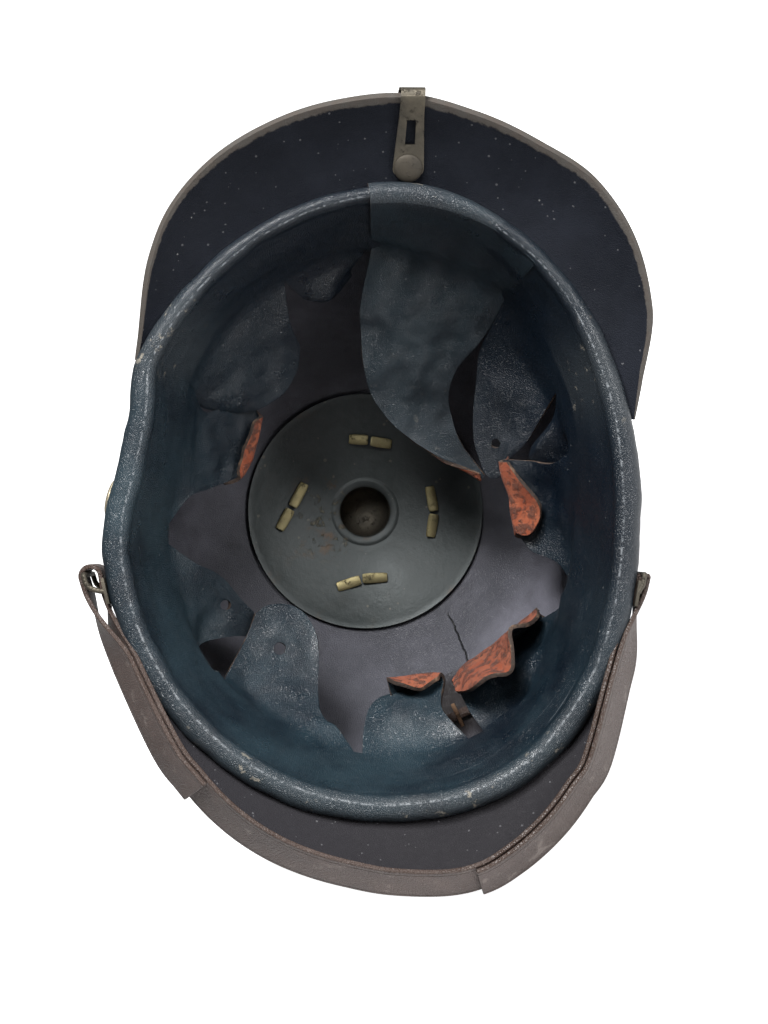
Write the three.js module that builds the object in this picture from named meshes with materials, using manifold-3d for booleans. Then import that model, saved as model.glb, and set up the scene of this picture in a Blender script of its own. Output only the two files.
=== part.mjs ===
// A spiked leather helmet: a blocked leather skull with two visors, a rolled and fingered leather liner,
// a turned metal spike on a domed base, a metal spine down the back and a chin strap round the front visor.
//
// Units are millimetres. The helmet is drawn as it is worn: +Z runs up through the spike, +Y to the
// wearer's back, +X to the wearer's left, and Z = 0 is the lower edge of the leather skull.
// The last section turns the whole helmet over and lays it down on its side and on the tip of its spike.

import * as THREE from 'three';
import { mergeVertices } from 'three/addons/utils/BufferGeometryUtils.js';
import Module from 'manifold-3d';

const wasm = await Module();
wasm.setup();

const { abs, cos, max, min, PI, sign, sin } = Math;
const { clamp, degToRad, lerp, smoothstep } = THREE.MathUtils;

// ---------------------------------------------------------------- driving dimensions

const gap = 0.3;                    // clearance between pieces that touch

const hull = {
  halfWidth: 91.5,                  // outer skin of the skull at its lower edge
  halfLength: 107.5,
  height: 142,
  wall: 2.8,
  crownRadius: 99,                  // the oval skull turns round as it rises
  roundAbove: 0.6,                  // share of the climb at which it is fully round
  roundness: 2.35,                  // exponent of the upright profile
  rearExponent: 1.95,               // exponents of the plan outline
  frontExponent: 2.15,
  bow: 7,                           // both ends have warped this far to the wearer's right
  dent: 5.6,                        // the left side is pressed in this far behind the button
  columns: 48,
  rises: [0, 0.04, 0.12, 0.22, 0.33, 0.44, 0.56, 0.68, 0.8, 0.89, 0.953],
};

const visors = {
  front: { halfWidth: 86, halfLength: 125.5, exponent: 2.45, bow: 12, drop: 12, hollow: 0.2, swing: 0,
    outline: [-25, -155], skull: [-31, -149] },
  rear: { halfWidth: 92, halfLength: 134.5, exponent: 2.4, bow: 6, drop: 21, hollow: 0.3, swing: -5,
    outline: [17, 171.5], skull: [27.5, 163.7],
    // how far the edge stands out from its oval, every 10 degrees from 35 to 155 degrees round the rim
    wander: [0, 1.2, 3.9, 2.6, 0, -1.2, -1.2, -4.5, -4.4, 1, 4, 3.2, 0] },
  thickness: 2.4,
  rootGap: 1.1,                     // level gap to the skull, wide enough for the slope of the root
  rootHeight: 1.8,
  columns: 28,
  rows: 4,
};

const lip = {
  width: 8.8,
  rearShare: 0.62,                  // the roll is thinner across the back
};

// The roll's section, from under the skull's edge round to the head side, as shares of the lip's width.
const lipSection = [
  { inward: 0.07, height: -0.3 },
  { inward: -0.02, height: -1.6 },
  { inward: 0.02, height: -3.6 },
  { inward: 0.2, height: -5.3 },
  { inward: 0.48, height: -5.8 },
  { inward: 0.75, height: -4.9 },
  { inward: 0.93, height: -2.8 },
];

const liner = {
  leather: 1.5,
  lean: 14,                         // degrees from upright
  bandHeight: 38,
  columns: 96,
  bandRows: 2,
  tongueRows: 6,
  tipPower: 2.6,                    // how square a tongue's end is
  curlRadius: 4.5,
};

// The tongues cut in the liner. turn and spread are degrees round the rim, length is in millimetres,
// bend, swing and curl are degrees, and curlFrom is the distance from the root to where the curl starts.
const tongues = [
  { turn: 13, spread: 14, length: 38, bend: 50, swing: 0, curlFrom: 99, curl: 0 },
  { turn: 44, spread: 16, length: 43, bend: 50, swing: 28, curlFrom: 99, curl: 0 },
  { turn: 72, spread: 11, length: 26, bend: 20, swing: 0, curlFrom: 99, curl: 0 },
  { turn: 105, spread: 20, length: 8, bend: 5, swing: 0, curlFrom: 99, curl: 0 },
  { turn: 141, spread: 13, length: 68, bend: 38, swing: -30, curlFrom: 99, curl: 0 },
  { turn: 161, spread: 6.5, length: 38, bend: 36, swing: -14, curlFrom: 99, curl: 0 },
  { turn: 180, spread: 12, length: 45, bend: 30, swing: 2, curlFrom: 25, curl: 180 },
  { turn: 222, spread: 20.5, length: 56, bend: 30, swing: 18, curlFrom: 29, curl: 180 },
  { turn: 259, spread: 15.5, length: 54, bend: 30, swing: 15, curlFrom: 35, curl: 180 },
  { turn: 297, spread: 19, length: 60, bend: 50, swing: -32, curlFrom: 99, curl: 0 },
  { turn: 335, spread: 15, length: 36, bend: 50, swing: 20, curlFrom: 99, curl: 0 },
];

// The loose end of the liner: where its two edges lie at each height above the skull's lower edge.
const flapFold = [
  { height: 30, leftX: 3.7, leftY: 87, rightX: -45, rightY: 79 },
  { height: 45, leftX: 4.5, leftY: 75, rightX: -44, rightY: 69 },
  { height: 58, leftX: 3.5, leftY: 57, rightX: -37, rightY: 57 },
  { height: 66, leftX: 0.5, leftY: 45, rightX: -31, rightY: 45 },
  { height: 71, leftX: -7, leftY: 32, rightX: -30, rightY: 35 },
  { height: 74, leftX: -22, leftY: 19.5, rightX: -34, rightY: 24 },
  { height: 75, leftX: -40, leftY: 12.5, rightX: -42, rightY: 13.5 },
];
const flap = { turns: [84.7, 124], leather: 1.3, columns: 7 };

const disc = { radius: 48.3, thickness: 1.1, hole: 10.4, ring: 13.2, edgeDrop: 1.5 };

const spike = {
  baseRadius: 50.5,
  plate: 1.1,
  neckRoot: 21,
  neckRadius: 12.6,
  neckHeight: 27,
  socketRadius: 8,
  collarRadius: 14.5,
  collarHeight: 4,
  coneRadius: 9.8,
  length: 66,
};

// The four studs of the base, with the lie of each split pin's two legs inside the crown.
const studCircle = 30.5;
const stud = { head: 5.6, rise: 3, shank: 1.5, legLength: 9.5, legWidth: 3.9, legThickness: 0.8, droop: 6 };
const studs = [
  { name: 'stud_rear', turn: 95, lie: 2, splay: 2 },
  { name: 'stud_left', turn: 2.5, lie: 28, splay: 4 },
  { name: 'stud_right', turn: 180, lie: -2, splay: 12 },
  { name: 'stud_front', turn: 272.5, lie: 8, splay: -9 },
];

const spineClear = 0.75;            // room for the visor's curve under the flat strip
const spine = { width: 8, endWidth: 10, thickness: 1, top: 0.665, slotLength: 8.6, slotWidth: 3.6, share: 0.4725, sideways: -2.5 };
const spineRivet = { radius: 4.9, rise: 1.6, shank: 1.6 };

const fittingRise = 0.0185;         // the side fittings sit this share of the climb above the edge
const button = { radius: 6.4, rise: 1.6, turn: 1 };

const post = { plate: 1.1, plateHeight: 23.6, plateWidth: 9, dome: 4.2, bar: 0.9, barSpan: 21.6, arm: 1.8 };
const posts = {
  // turn: degrees round the rim; bar: how far along the rim the bar lies; reach: how far it stands out
  left: { turn: -14.5, bar: 7, reach: 6.8 },
  right: { turn: 195, bar: 6.6, reach: 3.4 },
};

const strapClear = 0.9;             // room for the thickness of the visor's edge beside the tilted strap
const strap = {
  width: 18,
  leather: 1.6,
  layer: 2.1,                       // from one layer's middle to the next
  postHeight: 7,
  frontHeight: -12,
  sideTilt: 16,
  frontTilt: 36,
  leftEnd: 0.265,                    // shares of the way round at which the doubled ends stop
  rightEnd: 0.601,
  steps: 46,
};

// How far the strap stands off the skull between its posts and the front visor.
const strapBeside = {
  left: [{ turn: -19, off: 4.9 }, { turn: -27, off: 4.2 }],
  right: [{ turn: 213, off: 4.6 }, { turn: 206, off: 3.6 }],
};

const shield = { thickness: 0.9, loopTurn: 23, loopRise: 0.33, loop: 1.6, loopHeight: 8, loopReach: 9 };
// The plain shield on the front: half its spread in degrees at each rise.
const shieldRows = [
  { rise: 0.1, spread: 3 }, { rise: 0.12, spread: 10 }, { rise: 0.16, spread: 17 },
  { rise: 0.22, spread: 22 }, { rise: 0.3, spread: 25 }, { rise: 0.38, spread: 26 },
  { rise: 0.45, spread: 24 }, { rise: 0.49, spread: 17 }, { rise: 0.515, spread: 6 },
];
const peg = { length: 27, width: 5, thickness: 2 };

const rest = { pitch: -119.1, roll: -137.4 };  // degrees: how the helmet lies by itself

// ---------------------------------------------------------------- solids

const at = (x, y, z) => new THREE.Vector3(x, y, z);
const steps = (count) => Array.from({ length: count + 1 }, (_, i) => i / count);
const around = (count, makePoint) => Array.from({ length: count }, (_, i) => makePoint((i / count) * 2 * PI));

/** Closed mesh with shared corners, no empty triangles and its faces pointing out. */
function tidy(geometry) {
  const bare = geometry.clone();
  bare.deleteAttribute('normal');
  bare.deleteAttribute('uv');
  const merged = mergeVertices(bare, 1e-3);
  const corners = merged.index.array;
  const place = merged.attributes.position;
  const [a, b, c] = [at(0, 0, 0), at(0, 0, 0), at(0, 0, 0)];
  const kept = [];
  let volume = 0;
  for (let i = 0; i < corners.length; i += 3) {
    const [p, q, r] = corners.slice(i, i + 3);
    if (p !== q && q !== r && r !== p) {
      kept.push(p, q, r);
      a.fromBufferAttribute(place, p);
      b.fromBufferAttribute(place, q);
      c.fromBufferAttribute(place, r);
      volume += a.dot(b.cross(c));
    }
  }
  merged.setIndex(volume < 0 ? kept.reverse() : kept);
  return merged;
}

/** Close a row of rings into one body. Each ring runs out along one face of a sheet and back along the other. */
function skin(rings, loop = false) {
  const size = rings[0].length;
  const count = rings.length;
  const faces = [];
  const quad = (a, b, c, d) => faces.push(a, b, c, a, c, d);
  for (let i = 0; i < (loop ? count : count - 1); i++) {
    const here = i * size;
    const next = ((i + 1) % count) * size;
    for (let j = 0; j < size; j++) {
      const k = (j + 1) % size;
      quad(here + j, next + j, next + k, here + k);
    }
  }
  if (!loop) {
    const last = (count - 1) * size;
    for (let j = 0; j < size / 2 - 1; j++) {
      const back = size - 1 - j;
      quad(j, j + 1, back - 1, back);
      quad(last + j, last + back, last + back - 1, last + j + 1);
    }
  }
  const geometry = new THREE.BufferGeometry();
  geometry.setAttribute('position', new THREE.Float32BufferAttribute(rings.flat().flatMap((p) => p.toArray()), 3));
  geometry.setIndex(faces);
  return tidy(geometry);
}

function solid(geometry) {
  const closed = tidy(geometry);
  const mesh = new wasm.Mesh({
    numProp: 3,
    vertProperties: Float32Array.from(closed.attributes.position.array),
    triVerts: Uint32Array.from(closed.index.array),
  });
  return new wasm.Manifold(mesh);
}

function geometryOf(body) {
  const mesh = body.getMesh();
  const geometry = new THREE.BufferGeometry();
  geometry.setAttribute('position', new THREE.Float32BufferAttribute(mesh.vertProperties, 3));
  geometry.setIndex(Array.from(mesh.triVerts));
  return geometry;
}

const join = (...shapes) => geometryOf(shapes.map(solid).reduce((whole, next) => whole.add(next)));
const cut = (shape, ...tools) => geometryOf(tools.map(solid).reduce((whole, tool) => whole.subtract(tool), solid(shape)));

/** A turned piece, from rows of radius and height that start and end on the axis. */
function turned(rows, segments) {
  return new THREE.LatheGeometry(rows.map(([radius, height]) => new THREE.Vector2(radius, height)), segments)
    .rotateX(PI / 2);
}

/** A round pin along Z from one height to the other. */
function pin(radius, low, high, segments = 10) {
  return new THREE.CylinderGeometry(radius, radius, high - low, segments)
    .rotateX(PI / 2)
    .translate(0, 0, (low + high) / 2);
}

/** A box between two corners. */
function block(low, high) {
  const size = high.clone().sub(low);
  const middle = low.clone().add(high).multiplyScalar(0.5);
  return new THREE.BoxGeometry(size.x, size.y, size.z).translate(middle.x, middle.y, middle.z);
}

// ---------------------------------------------------------------- the skull's surface

function oval(turn, halfX, halfY, exponent) {
  const across = cos(turn);
  const along = sin(turn);
  return at(
    halfX * sign(across) * abs(across) ** (2 / exponent),
    halfY * sign(along) * abs(along) ** (2 / exponent),
    0,
  );
}

/** How far the skull is pressed in at a turn: behind the button on the wearer's left. */
function dentAt(turn) {
  const degrees = ((((turn * 180) / PI + 180) % 360) + 360) % 360 - 180;
  return hull.dent * smoothstep(degrees, -10, 10) * (1 - smoothstep(degrees, 15, 29));
}

/** Point on the skull's outer skin, moved outwards by offset. */
function hullPoint(turn, rise, offset = 0) {
  const ovalness = smoothstep(1 - rise / hull.roundAbove, 0, 1);
  const level = (rise * PI) / 2;
  const shrink = cos(level) ** (2 / hull.roundness);
  const halfX = (lerp(hull.crownRadius, hull.halfWidth, ovalness) + offset) * shrink;
  const halfY = (lerp(hull.crownRadius, hull.halfLength, ovalness) + offset) * shrink;
  const exponent = lerp(2, sin(turn) > 0 ? hull.rearExponent : hull.frontExponent, ovalness);
  const place = oval(turn, halfX, halfY, exponent);
  place.x -= hull.bow * ovalness * (place.y / halfY) ** 2 + dentAt(turn) * ovalness;
  place.z = (hull.height + offset) * sin(level) ** (2 / hull.roundness);
  return place;
}

/** Height of the round crown's skin at a radius, moved outwards by offset. */
function crownHeight(radius, offset) {
  const share = (radius / (hull.crownRadius + offset)) ** hull.roundness;
  return (hull.height + offset) * (1 - share) ** (1 / hull.roundness);
}

/** Places a piece on the skull's skin: X along the rim, Y up the skull, Z straight out. */
function seat(turn, rise) {
  const step = 0.002;
  const low = max(rise - step, 0);
  const along = hullPoint(turn + step, rise).sub(hullPoint(turn - step, rise)).normalize();
  const up = hullPoint(turn, rise + step).sub(hullPoint(turn, low)).normalize();
  const out = along.clone().cross(up).normalize();
  up.crossVectors(out, along);
  return new THREE.Matrix4().makeBasis(along, up, out).setPosition(hullPoint(turn, rise));
}

/** Places a stud on the crown: Z is its shank, X runs round the spike. */
function studSeat(turn) {
  const step = 0.01;
  const height = crownHeight(studCircle, 0);
  const slope = (crownHeight(studCircle + step, 0) - height) / step;
  return new THREE.Matrix4()
    .makeRotationZ(turn)
    .multiply(new THREE.Matrix4().makeTranslation(studCircle, 0, height))
    .multiply(new THREE.Matrix4().makeRotationY(-Math.atan(slope)));
}

const studHoles = (radius) =>
  studs.map(({ turn }) => pin(radius, -12, 9).applyMatrix4(studSeat(degToRad(turn))));

// ---------------------------------------------------------------- leather skull and visors

const loopTurns = [-90 - shield.loopTurn, -90 + shield.loopTurn];

function crownShell() {
  const ring = (rise, offset) => around(hull.columns, (turn) => hullPoint(turn, rise, offset));
  const outside = hull.rises.map((rise) => ring(rise, 0));
  const inside = hull.rises.map((rise) => ring(rise, -hull.wall)).reverse();
  const loopSlot = block(at(-1.2, -4.4, -9), at(1.2, 4.4, 4));
  const slots = loopTurns.map((turn) => loopSlot.clone().applyMatrix4(seat(degToRad(turn), shield.loopRise)));
  const postHoles = Object.values(posts).map(({ turn }) =>
    pin(1.9, -6, 4).applyMatrix4(seat(degToRad(turn), fittingRise)));
  const buttonHole = pin(1.9, -6, 4).applyMatrix4(seat(degToRad(button.turn), fittingRise));
  return cut(skin([...outside, ...inside], true), ...studHoles(stud.shank + gap), ...slots, ...postHoles, buttonHole);
}

/** How far a visor's edge stands out from its oval at a place: a smooth curve through the wander table. */
function wanderAt(visor, place) {
  if (!visor.wander) return 0;
  const last = visor.wander.length - 1;
  const spot = clamp(((Math.atan2(place.y, place.x) * 180) / PI - 35) / 10, 0, last);
  const index = min(Math.floor(spot), last - 1);
  const part = spot - index;
  const [before, here, there, after] = [-1, 0, 1, 2].map((step) => visor.wander[clamp(index + step, 0, last)]);
  return 0.5 * (2 * here + (there - before) * part + (2 * before - 5 * here + 4 * there - after) * part ** 2
    + (3 * here - before - 3 * there + after) * part ** 3);
}

/** Middle of a visor's leather: share runs round it, reach from the skull to its edge. */
function visorMiddle(visor, share, reach) {
  const skullTurn = degToRad(lerp(visor.skull[0], visor.skull[1], share));
  const edgeTurn = degToRad(lerp(visor.outline[0], visor.outline[1], share));
  const root = hullPoint(skullTurn, 0, visors.rootGap);
  root.z = visors.rootHeight;
  const edge = oval(edgeTurn, visor.halfWidth, visor.halfLength, visor.exponent);
  edge.x += visor.swing - visor.bow * (edge.y / visor.halfLength) ** 2;
  edge.setLength(edge.length() + wanderAt(visor, edge));
  edge.z = -visor.drop * sin(PI * share) ** 0.8;
  edge.lerp(root, 1 - smoothstep(min(share, 1 - share), -0.06, 0.1));
  const middle = root.clone().lerp(edge, 0.5);
  middle.z += visor.hollow * abs(root.z - edge.z);
  return root.multiplyScalar((1 - reach) ** 2)
    .addScaledVector(middle, 2 * reach * (1 - reach))
    .addScaledVector(edge, reach ** 2);
}

/** Point on a visor, moved up from the middle of its leather by offset. */
function visorPoint(visor, share, reach, offset) {
  const step = 0.01;
  const back = visorMiddle(visor, share, reach - step);
  const along = visorMiddle(visor, share, reach + step).sub(back);
  const flat = along.clone().setZ(0);
  const up = at(0, 0, 1).multiplyScalar(flat.length()).addScaledVector(flat.normalize(), -along.z).normalize();
  return visorMiddle(visor, share, reach).addScaledVector(up, offset);
}

function visorShell(visor, ...holes) {
  const half = visors.thickness / 2;
  const rings = steps(visors.columns).map((share) => [
    ...steps(visors.rows).map((reach) => visorPoint(visor, share, reach, half)),
    ...steps(visors.rows).reverse().map((reach) => visorPoint(visor, share, reach, -half)),
  ]);
  return holes.length ? cut(skin(rings), ...holes) : skin(rings);
}

// ---------------------------------------------------------------- liner

function tongueAt(turn) {
  const degrees = THREE.MathUtils.radToDeg(turn);
  const distance = (tongue) => ((degrees - tongue.turn + 540) % 360) - 180;
  const tongue = tongues.find((each) => abs(distance(each)) < each.spread);
  return tongue && { ...tongue, side: distance(tongue) / tongue.spread };
}

const lipWidth = (turn) => lip.width * lerp(1, lip.rearShare, smoothstep(sin(turn), 0.1, 1));

/** How far inward and how high the liner's head side lies, a length up from the lip. */
function linerPath(turn, length, tongue) {
  const step = 1;
  let inward = lipWidth(turn);
  let height = 0;
  let slope = 0;
  for (let done = 0; done < length; done += step) {
    const past = done - liner.bandHeight;
    const bend = tongue && past > 0 ? tongue.bend * smoothstep(past, 0, 30) : 0;
    const curled = tongue ? clamp((past - tongue.curlFrom) / liner.curlRadius, 0, degToRad(tongue.curl)) : 0;
    slope = degToRad(liner.lean + bend) + curled;
    const piece = min(step, length - done);
    inward += piece * sin(slope);
    height += piece * cos(slope);
  }
  return { inward, height, slope };
}

const inwardAt = (turn) => {
  const matrix = seat(turn, 0);
  return at(0, 0, 0).setFromMatrixColumn(matrix, 2).setZ(0).normalize().negate();
};

/** Point of the liner on the given side of its leather: 0 is the head side. */
function linerPoint(turn, length, tongue, depth) {
  const { inward, height, slope } = linerPath(turn, length, tongue);
  const root = min(inward, linerPath(turn, liner.bandHeight, tongue).inward);
  const away = inwardAt(turn);
  const place = hullPoint(turn, 0).addScaledVector(away, length > liner.bandHeight ? root : inward);
  let free = away;
  if (tongue) {
    const heading = inwardAt(degToRad(tongue.turn)).applyAxisAngle(at(0, 0, 1), degToRad(tongue.swing));
    free = away.clone().lerp(heading, 0.65).normalize();
  }
  if (length > liner.bandHeight) {
    place.addScaledVector(free, inward - root);
  }
  place.z = height;
  return place.addScaledVector(free, -depth * cos(slope)).add(at(0, 0, depth * sin(slope)));
}

function linerRing(turn) {
  const tongue = tongueAt(turn);
  const tip = tongue ? tongue.length * (1 - abs(tongue.side) ** liner.tipPower) ** (1 / liner.tipPower) : 0;
  const lengths = [
    ...steps(liner.bandRows).map((share) => share * liner.bandHeight),
    ...steps(liner.tongueRows).slice(1).map((share) => liner.bandHeight + share * (tip + 0.8)),
  ];
  const roll = lipSection.map(({ inward, height }) =>
    hullPoint(turn, 0).addScaledVector(inwardAt(turn), inward * lipWidth(turn)).setZ(height));
  const head = lengths.map((length) => linerPoint(turn, length, tongue, 0));
  const back = lengths.slice(1).reverse().map((length) => linerPoint(turn, length, tongue, liner.leather));
  const heel = hullPoint(turn, 0).addScaledVector(inwardAt(turn), lipWidth(turn) - liner.leather).setZ(-0.3);
  return [...roll, ...head, ...back, heel];
}

function linerBody() {
  return skin(around(liner.columns, linerRing), true);
}

/** Point on the loose flap: across runs from its cut edge to the wearer's right, depth through the leather. */
function flapPoint(across, row, depth) {
  const turn = degToRad(lerp(flap.turns[0], flap.turns[1], across));
  const away = inwardAt(turn);
  const wide = lipWidth(turn);
  const wrapped = [
    { inward: -0.04 * wide - 0.35, height: -2.4, tilt: 175 },
    { inward: 0.1 * wide, height: -6.4, tilt: 125 },
    { inward: 0.6 * wide, height: -6.9, tilt: 80 },
    { inward: wide + 0.9, height: -2, tilt: 25 },
    { inward: wide + 4, height: 12, tilt: 14 },
  ];
  if (row < wrapped.length) {
    const { inward, height, tilt } = wrapped[row];
    const out = degToRad(tilt);
    return hullPoint(turn, 0)
      .addScaledVector(away, inward + depth * cos(out))
      .setZ(height - depth * sin(out));
  }
  const fold = flapFold[row - wrapped.length];
  const belly = 3 * sin(PI * across);
  const place = at(lerp(fold.leftX, fold.rightX, across), lerp(fold.leftY, fold.rightY, across), fold.height);
  const lean = degToRad(35 + 35 * smoothstep(fold.height, 40, 75));
  return place.addScaledVector(at(0, 1, 0), belly * cos(lean)).add(at(0, -depth * cos(lean), -depth * sin(lean)));
}

function linerFlap() {
  const rows = 5 + flapFold.length;
  const rings = Array.from({ length: rows }, (_, row) => [
    ...steps(flap.columns).map((across) => flapPoint(across, row, flap.leather)),
    ...steps(flap.columns).reverse().map((across) => flapPoint(across, row, 0)),
  ]);
  return skin(rings);
}

// ---------------------------------------------------------------- crown metalwork

function innerDisc() {
  const radii = [disc.ring + 1.6, 22, 30, 40, disc.radius];
  const top = (radius) => crownHeight(radius, -hull.wall - gap) - disc.edgeDrop * (radius / disc.radius) ** 2;
  const level = top(disc.hole);
  const rows = [
    [disc.hole, level],
    ...radii.map((radius) => [radius, top(radius)]),
    ...radii.toReversed().map((radius) => [radius, top(radius) - disc.thickness]),
    [disc.ring + 0.6, level - disc.thickness - 1.5],
    [disc.ring - 0.8, level - disc.thickness - 1.7],
    [disc.hole, level - disc.thickness - 0.6],
    [disc.hole, level],
  ];
  return cut(turned(rows, 36), ...studHoles(stud.shank + gap));
}

function spikeBase() {
  const radii = [disc.hole + 3, 22, 30, 40, spike.baseRadius];
  const under = (radius) => crownHeight(radius, gap);
  const over = (radius) => crownHeight(radius, gap + spike.plate);
  const edge = under(spike.baseRadius);
  const neckTop = hull.height + spike.neckHeight;
  const floor = hull.height + 12;
  const rows = [
    [0, floor],
    [5.5, floor - 0.8],
    [9, floor - 3.4],
    [disc.hole, floor - 7],
    [disc.hole, under(disc.hole)],
    ...radii.map((radius) => [radius, under(radius)]),
    [spike.baseRadius + 1.3, edge + 0.3],
    [spike.baseRadius + 1.1, edge + 1.9],
    [spike.baseRadius - 0.6, edge + 2.4],
    ...[47, 40, 30].map((radius) => [radius, over(radius)]),
    [spike.neckRoot, over(spike.neckRoot)],
    [spike.neckRoot - 3, over(spike.neckRoot) + 2.2],
    [spike.neckRadius + 2, hull.height + 9],
    [spike.neckRadius, hull.height + 18],
    [spike.neckRadius, neckTop],
    [spike.socketRadius + gap, neckTop],
    [spike.socketRadius + gap, hull.height + 15],
    [0, hull.height + 15],
  ];
  return cut(turned(rows, 36), ...studHoles(stud.shank + gap));
}

function spikeBody() {
  const foot = hull.height + spike.neckHeight + gap;
  const collar = foot + spike.collarHeight;
  const tip = collar + spike.length;
  return turned([
    [0, hull.height + 15 + gap],
    [spike.socketRadius, hull.height + 15 + gap],
    [spike.socketRadius, foot],
    [spike.collarRadius - 1, foot],
    [spike.collarRadius, foot + 1],
    [spike.collarRadius, collar - 1.2],
    [spike.collarRadius - 1.4, collar],
    [spike.coneRadius + 0.8, collar],
    [spike.coneRadius, collar + 2.5],
    [lerp(spike.coneRadius, 1.6, 0.5), lerp(collar, tip, 0.5)],
    [1.6, tip - 1.6],
    [1.1, tip - 0.4],
    [0, tip],
  ], 28);
}

/** A domed stud whose split pin opens flat under the inner disc. */
function studBody({ turn, lie, splay }) {
  const plateTop = gap + spike.plate + gap;
  const under = hull.wall + 2 * gap + disc.thickness + disc.edgeDrop * (studCircle / disc.radius) ** 2;
  const head = turned([
    [0, plateTop], [stud.head, plateTop], [stud.head, plateTop + 0.7], [stud.head * 0.8, plateTop + 2],
    [stud.head * 0.45, plateTop + 2.8], [0, plateTop + stud.rise],
  ], 16);
  const legs = [1, -1].map((way) =>
    block(at(0, -stud.legWidth / 2, -stud.legThickness), at(stud.legLength, stud.legWidth / 2, 0))
      .rotateY(degToRad(stud.droop))
      .rotateZ(degToRad(way * splay) + (way > 0 ? 0 : PI))
      .translate(0, 0, -under));
  const shank = pin(stud.shank, -under - stud.legThickness, plateTop + 0.5);
  return join(head, shank, ...legs.map((leg) => leg.rotateZ(PI / 2 + degToRad(lie))))
    .applyMatrix4(studSeat(degToRad(turn)));
}

// ---------------------------------------------------------------- spine, side fittings and shield

/** Middle of the spine's metal along the back, and how wide it is there. */
function spineStations() {
  const lift = gap + spineClear + spine.thickness / 2;
  const visor = (reach, offset) => visorPoint(visors.rear, spine.share, reach, offset);
  const above = visors.thickness / 2 + lift;
  const onSkull = [spine.top, 0.6, 0.5, 0.4, 0.3, 0.2, 0.11, 0.06]
    .map((rise) => hullPoint(PI / 2, rise, lift));
  const places = [
    ...onSkull,
    ...[0.12, 0.3, 0.5, 0.7, 0.88, 1].map((reach) => visor(reach, above)),
    visor(1.05, above * 0.5),
    visor(1.05, -above * 0.5),
    ...[1, 0.86, 0.74, 0.6, 0.45, 0.3, 0.19].map((reach) => visor(reach, -above)),
  ];
  const folded = onSkull.length + 8;
  return places.map((place, i) => {
    const share = smoothstep(i, 8, folded);
    place.x += spine.sideways * share;
    const width = i < folded ? spine.width : lerp(spine.width, spine.endWidth, (i - folded) / 6);
    return { place, width };
  });
}

function ribbon(stations, thickness) {
  const rings = stations.map(({ place, width }, i) => {
    const before = stations[max(i - 1, 0)].place;
    const after = stations[min(i + 1, stations.length - 1)].place;
    const along = after.clone().sub(before).normalize();
    const across = at(1, 0, 0).addScaledVector(along, -along.x).normalize();
    const up = across.clone().cross(along);
    const corner = (side, face) =>
      place.clone().addScaledVector(across, (side * width) / 2).addScaledVector(up, (face * thickness) / 2);
    return [corner(-1, 1), corner(1, 1), corner(1, -1), corner(-1, -1)];
  });
  return skin(rings);
}

const rivetReach = 0.3;
const slotReach = 0.62;

/** Places a piece under the rear visor: Z points down out of its underside, Y towards its edge. */
function underVisor(reach) {
  const place = visorPoint(visors.rear, spine.share, reach, 0);
  const ahead = visorPoint(visors.rear, spine.share, reach + 0.05, 0).sub(place).setX(0).normalize();
  place.x += spine.sideways;
  return new THREE.Matrix4().makeBasis(at(-1, 0, 0), ahead, at(-1, 0, 0).cross(ahead)).setPosition(place);
}

function spineBody() {
  const slot = block(
    at(-spine.slotWidth / 2, -spine.slotLength / 2, visors.thickness / 2 + 0.1),
    at(spine.slotWidth / 2, spine.slotLength / 2, visors.thickness / 2 + 5),
  ).applyMatrix4(underVisor(slotReach));
  const hole = pin(spineRivet.shank + gap, -5, 5).applyMatrix4(underVisor(rivetReach));
  return cut(ribbon(spineStations(), spine.thickness), slot, hole);
}

function spineRivetBody() {
  const low = visors.thickness / 2 + spineClear + spine.thickness + 3 * gap;
  const { radius, rise, shank } = spineRivet;
  return turned([
    [0, -visors.thickness / 2], [shank, -visors.thickness / 2],
    [shank, low], [radius, low], [radius, low + 0.6], [radius * 0.6, low + rise * 0.9], [0, low + rise],
  ], 20).applyMatrix4(underVisor(rivetReach));
}

function buttonBody() {
  const { radius, rise, turn } = button;
  const foot = gap + 0.1;
  return turned([
    [0, -5], [1.6, -5], [1.6, foot], [radius, foot], [radius, foot + 0.8], [radius - 1, foot + rise], [0, foot + rise],
  ], 20).applyMatrix4(seat(degToRad(turn), fittingRise));
}

/** The bar that the strap turns round stands clear of the skull, ahead of or behind its plate. */
function postBody({ turn, bar, reach }, way) {
  const { plate, plateHeight, plateWidth, dome, arm, barSpan } = post;
  const foot = gap + 0.35;
  const back = block(at(-plateWidth / 2, -plateHeight / 2, foot), at(plateWidth / 2, plateHeight / 2, foot + plate));
  const boss = turned([[0, -5.4], [1.6, -5.4], [1.6, foot], [dome, foot], [dome, foot + plate + 0.3],
    [dome * 0.6, foot + plate + 1], [0, foot + plate + 1.1]], 16);
  const far = way * bar;
  const arms = [1, -1].map((end) => {
    const level = (end * (barSpan - arm)) / 2 + (end * arm) / 2;
    const lowX = min(0, far) - (far < 0 ? post.bar : 0);
    const highX = max(0, far) + (far > 0 ? post.bar : 0);
    return block(at(lowX, level - arm / 2, foot), at(highX, level + arm / 2, max(reach + post.bar, foot + plate)));
  });
  const rod = pin(post.bar, -barSpan / 2, barSpan / 2, 12).rotateX(PI / 2).translate(far, 0, reach);
  return join(back, boss, ...arms, rod).applyMatrix4(seat(degToRad(turn), fittingRise));
}

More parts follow.
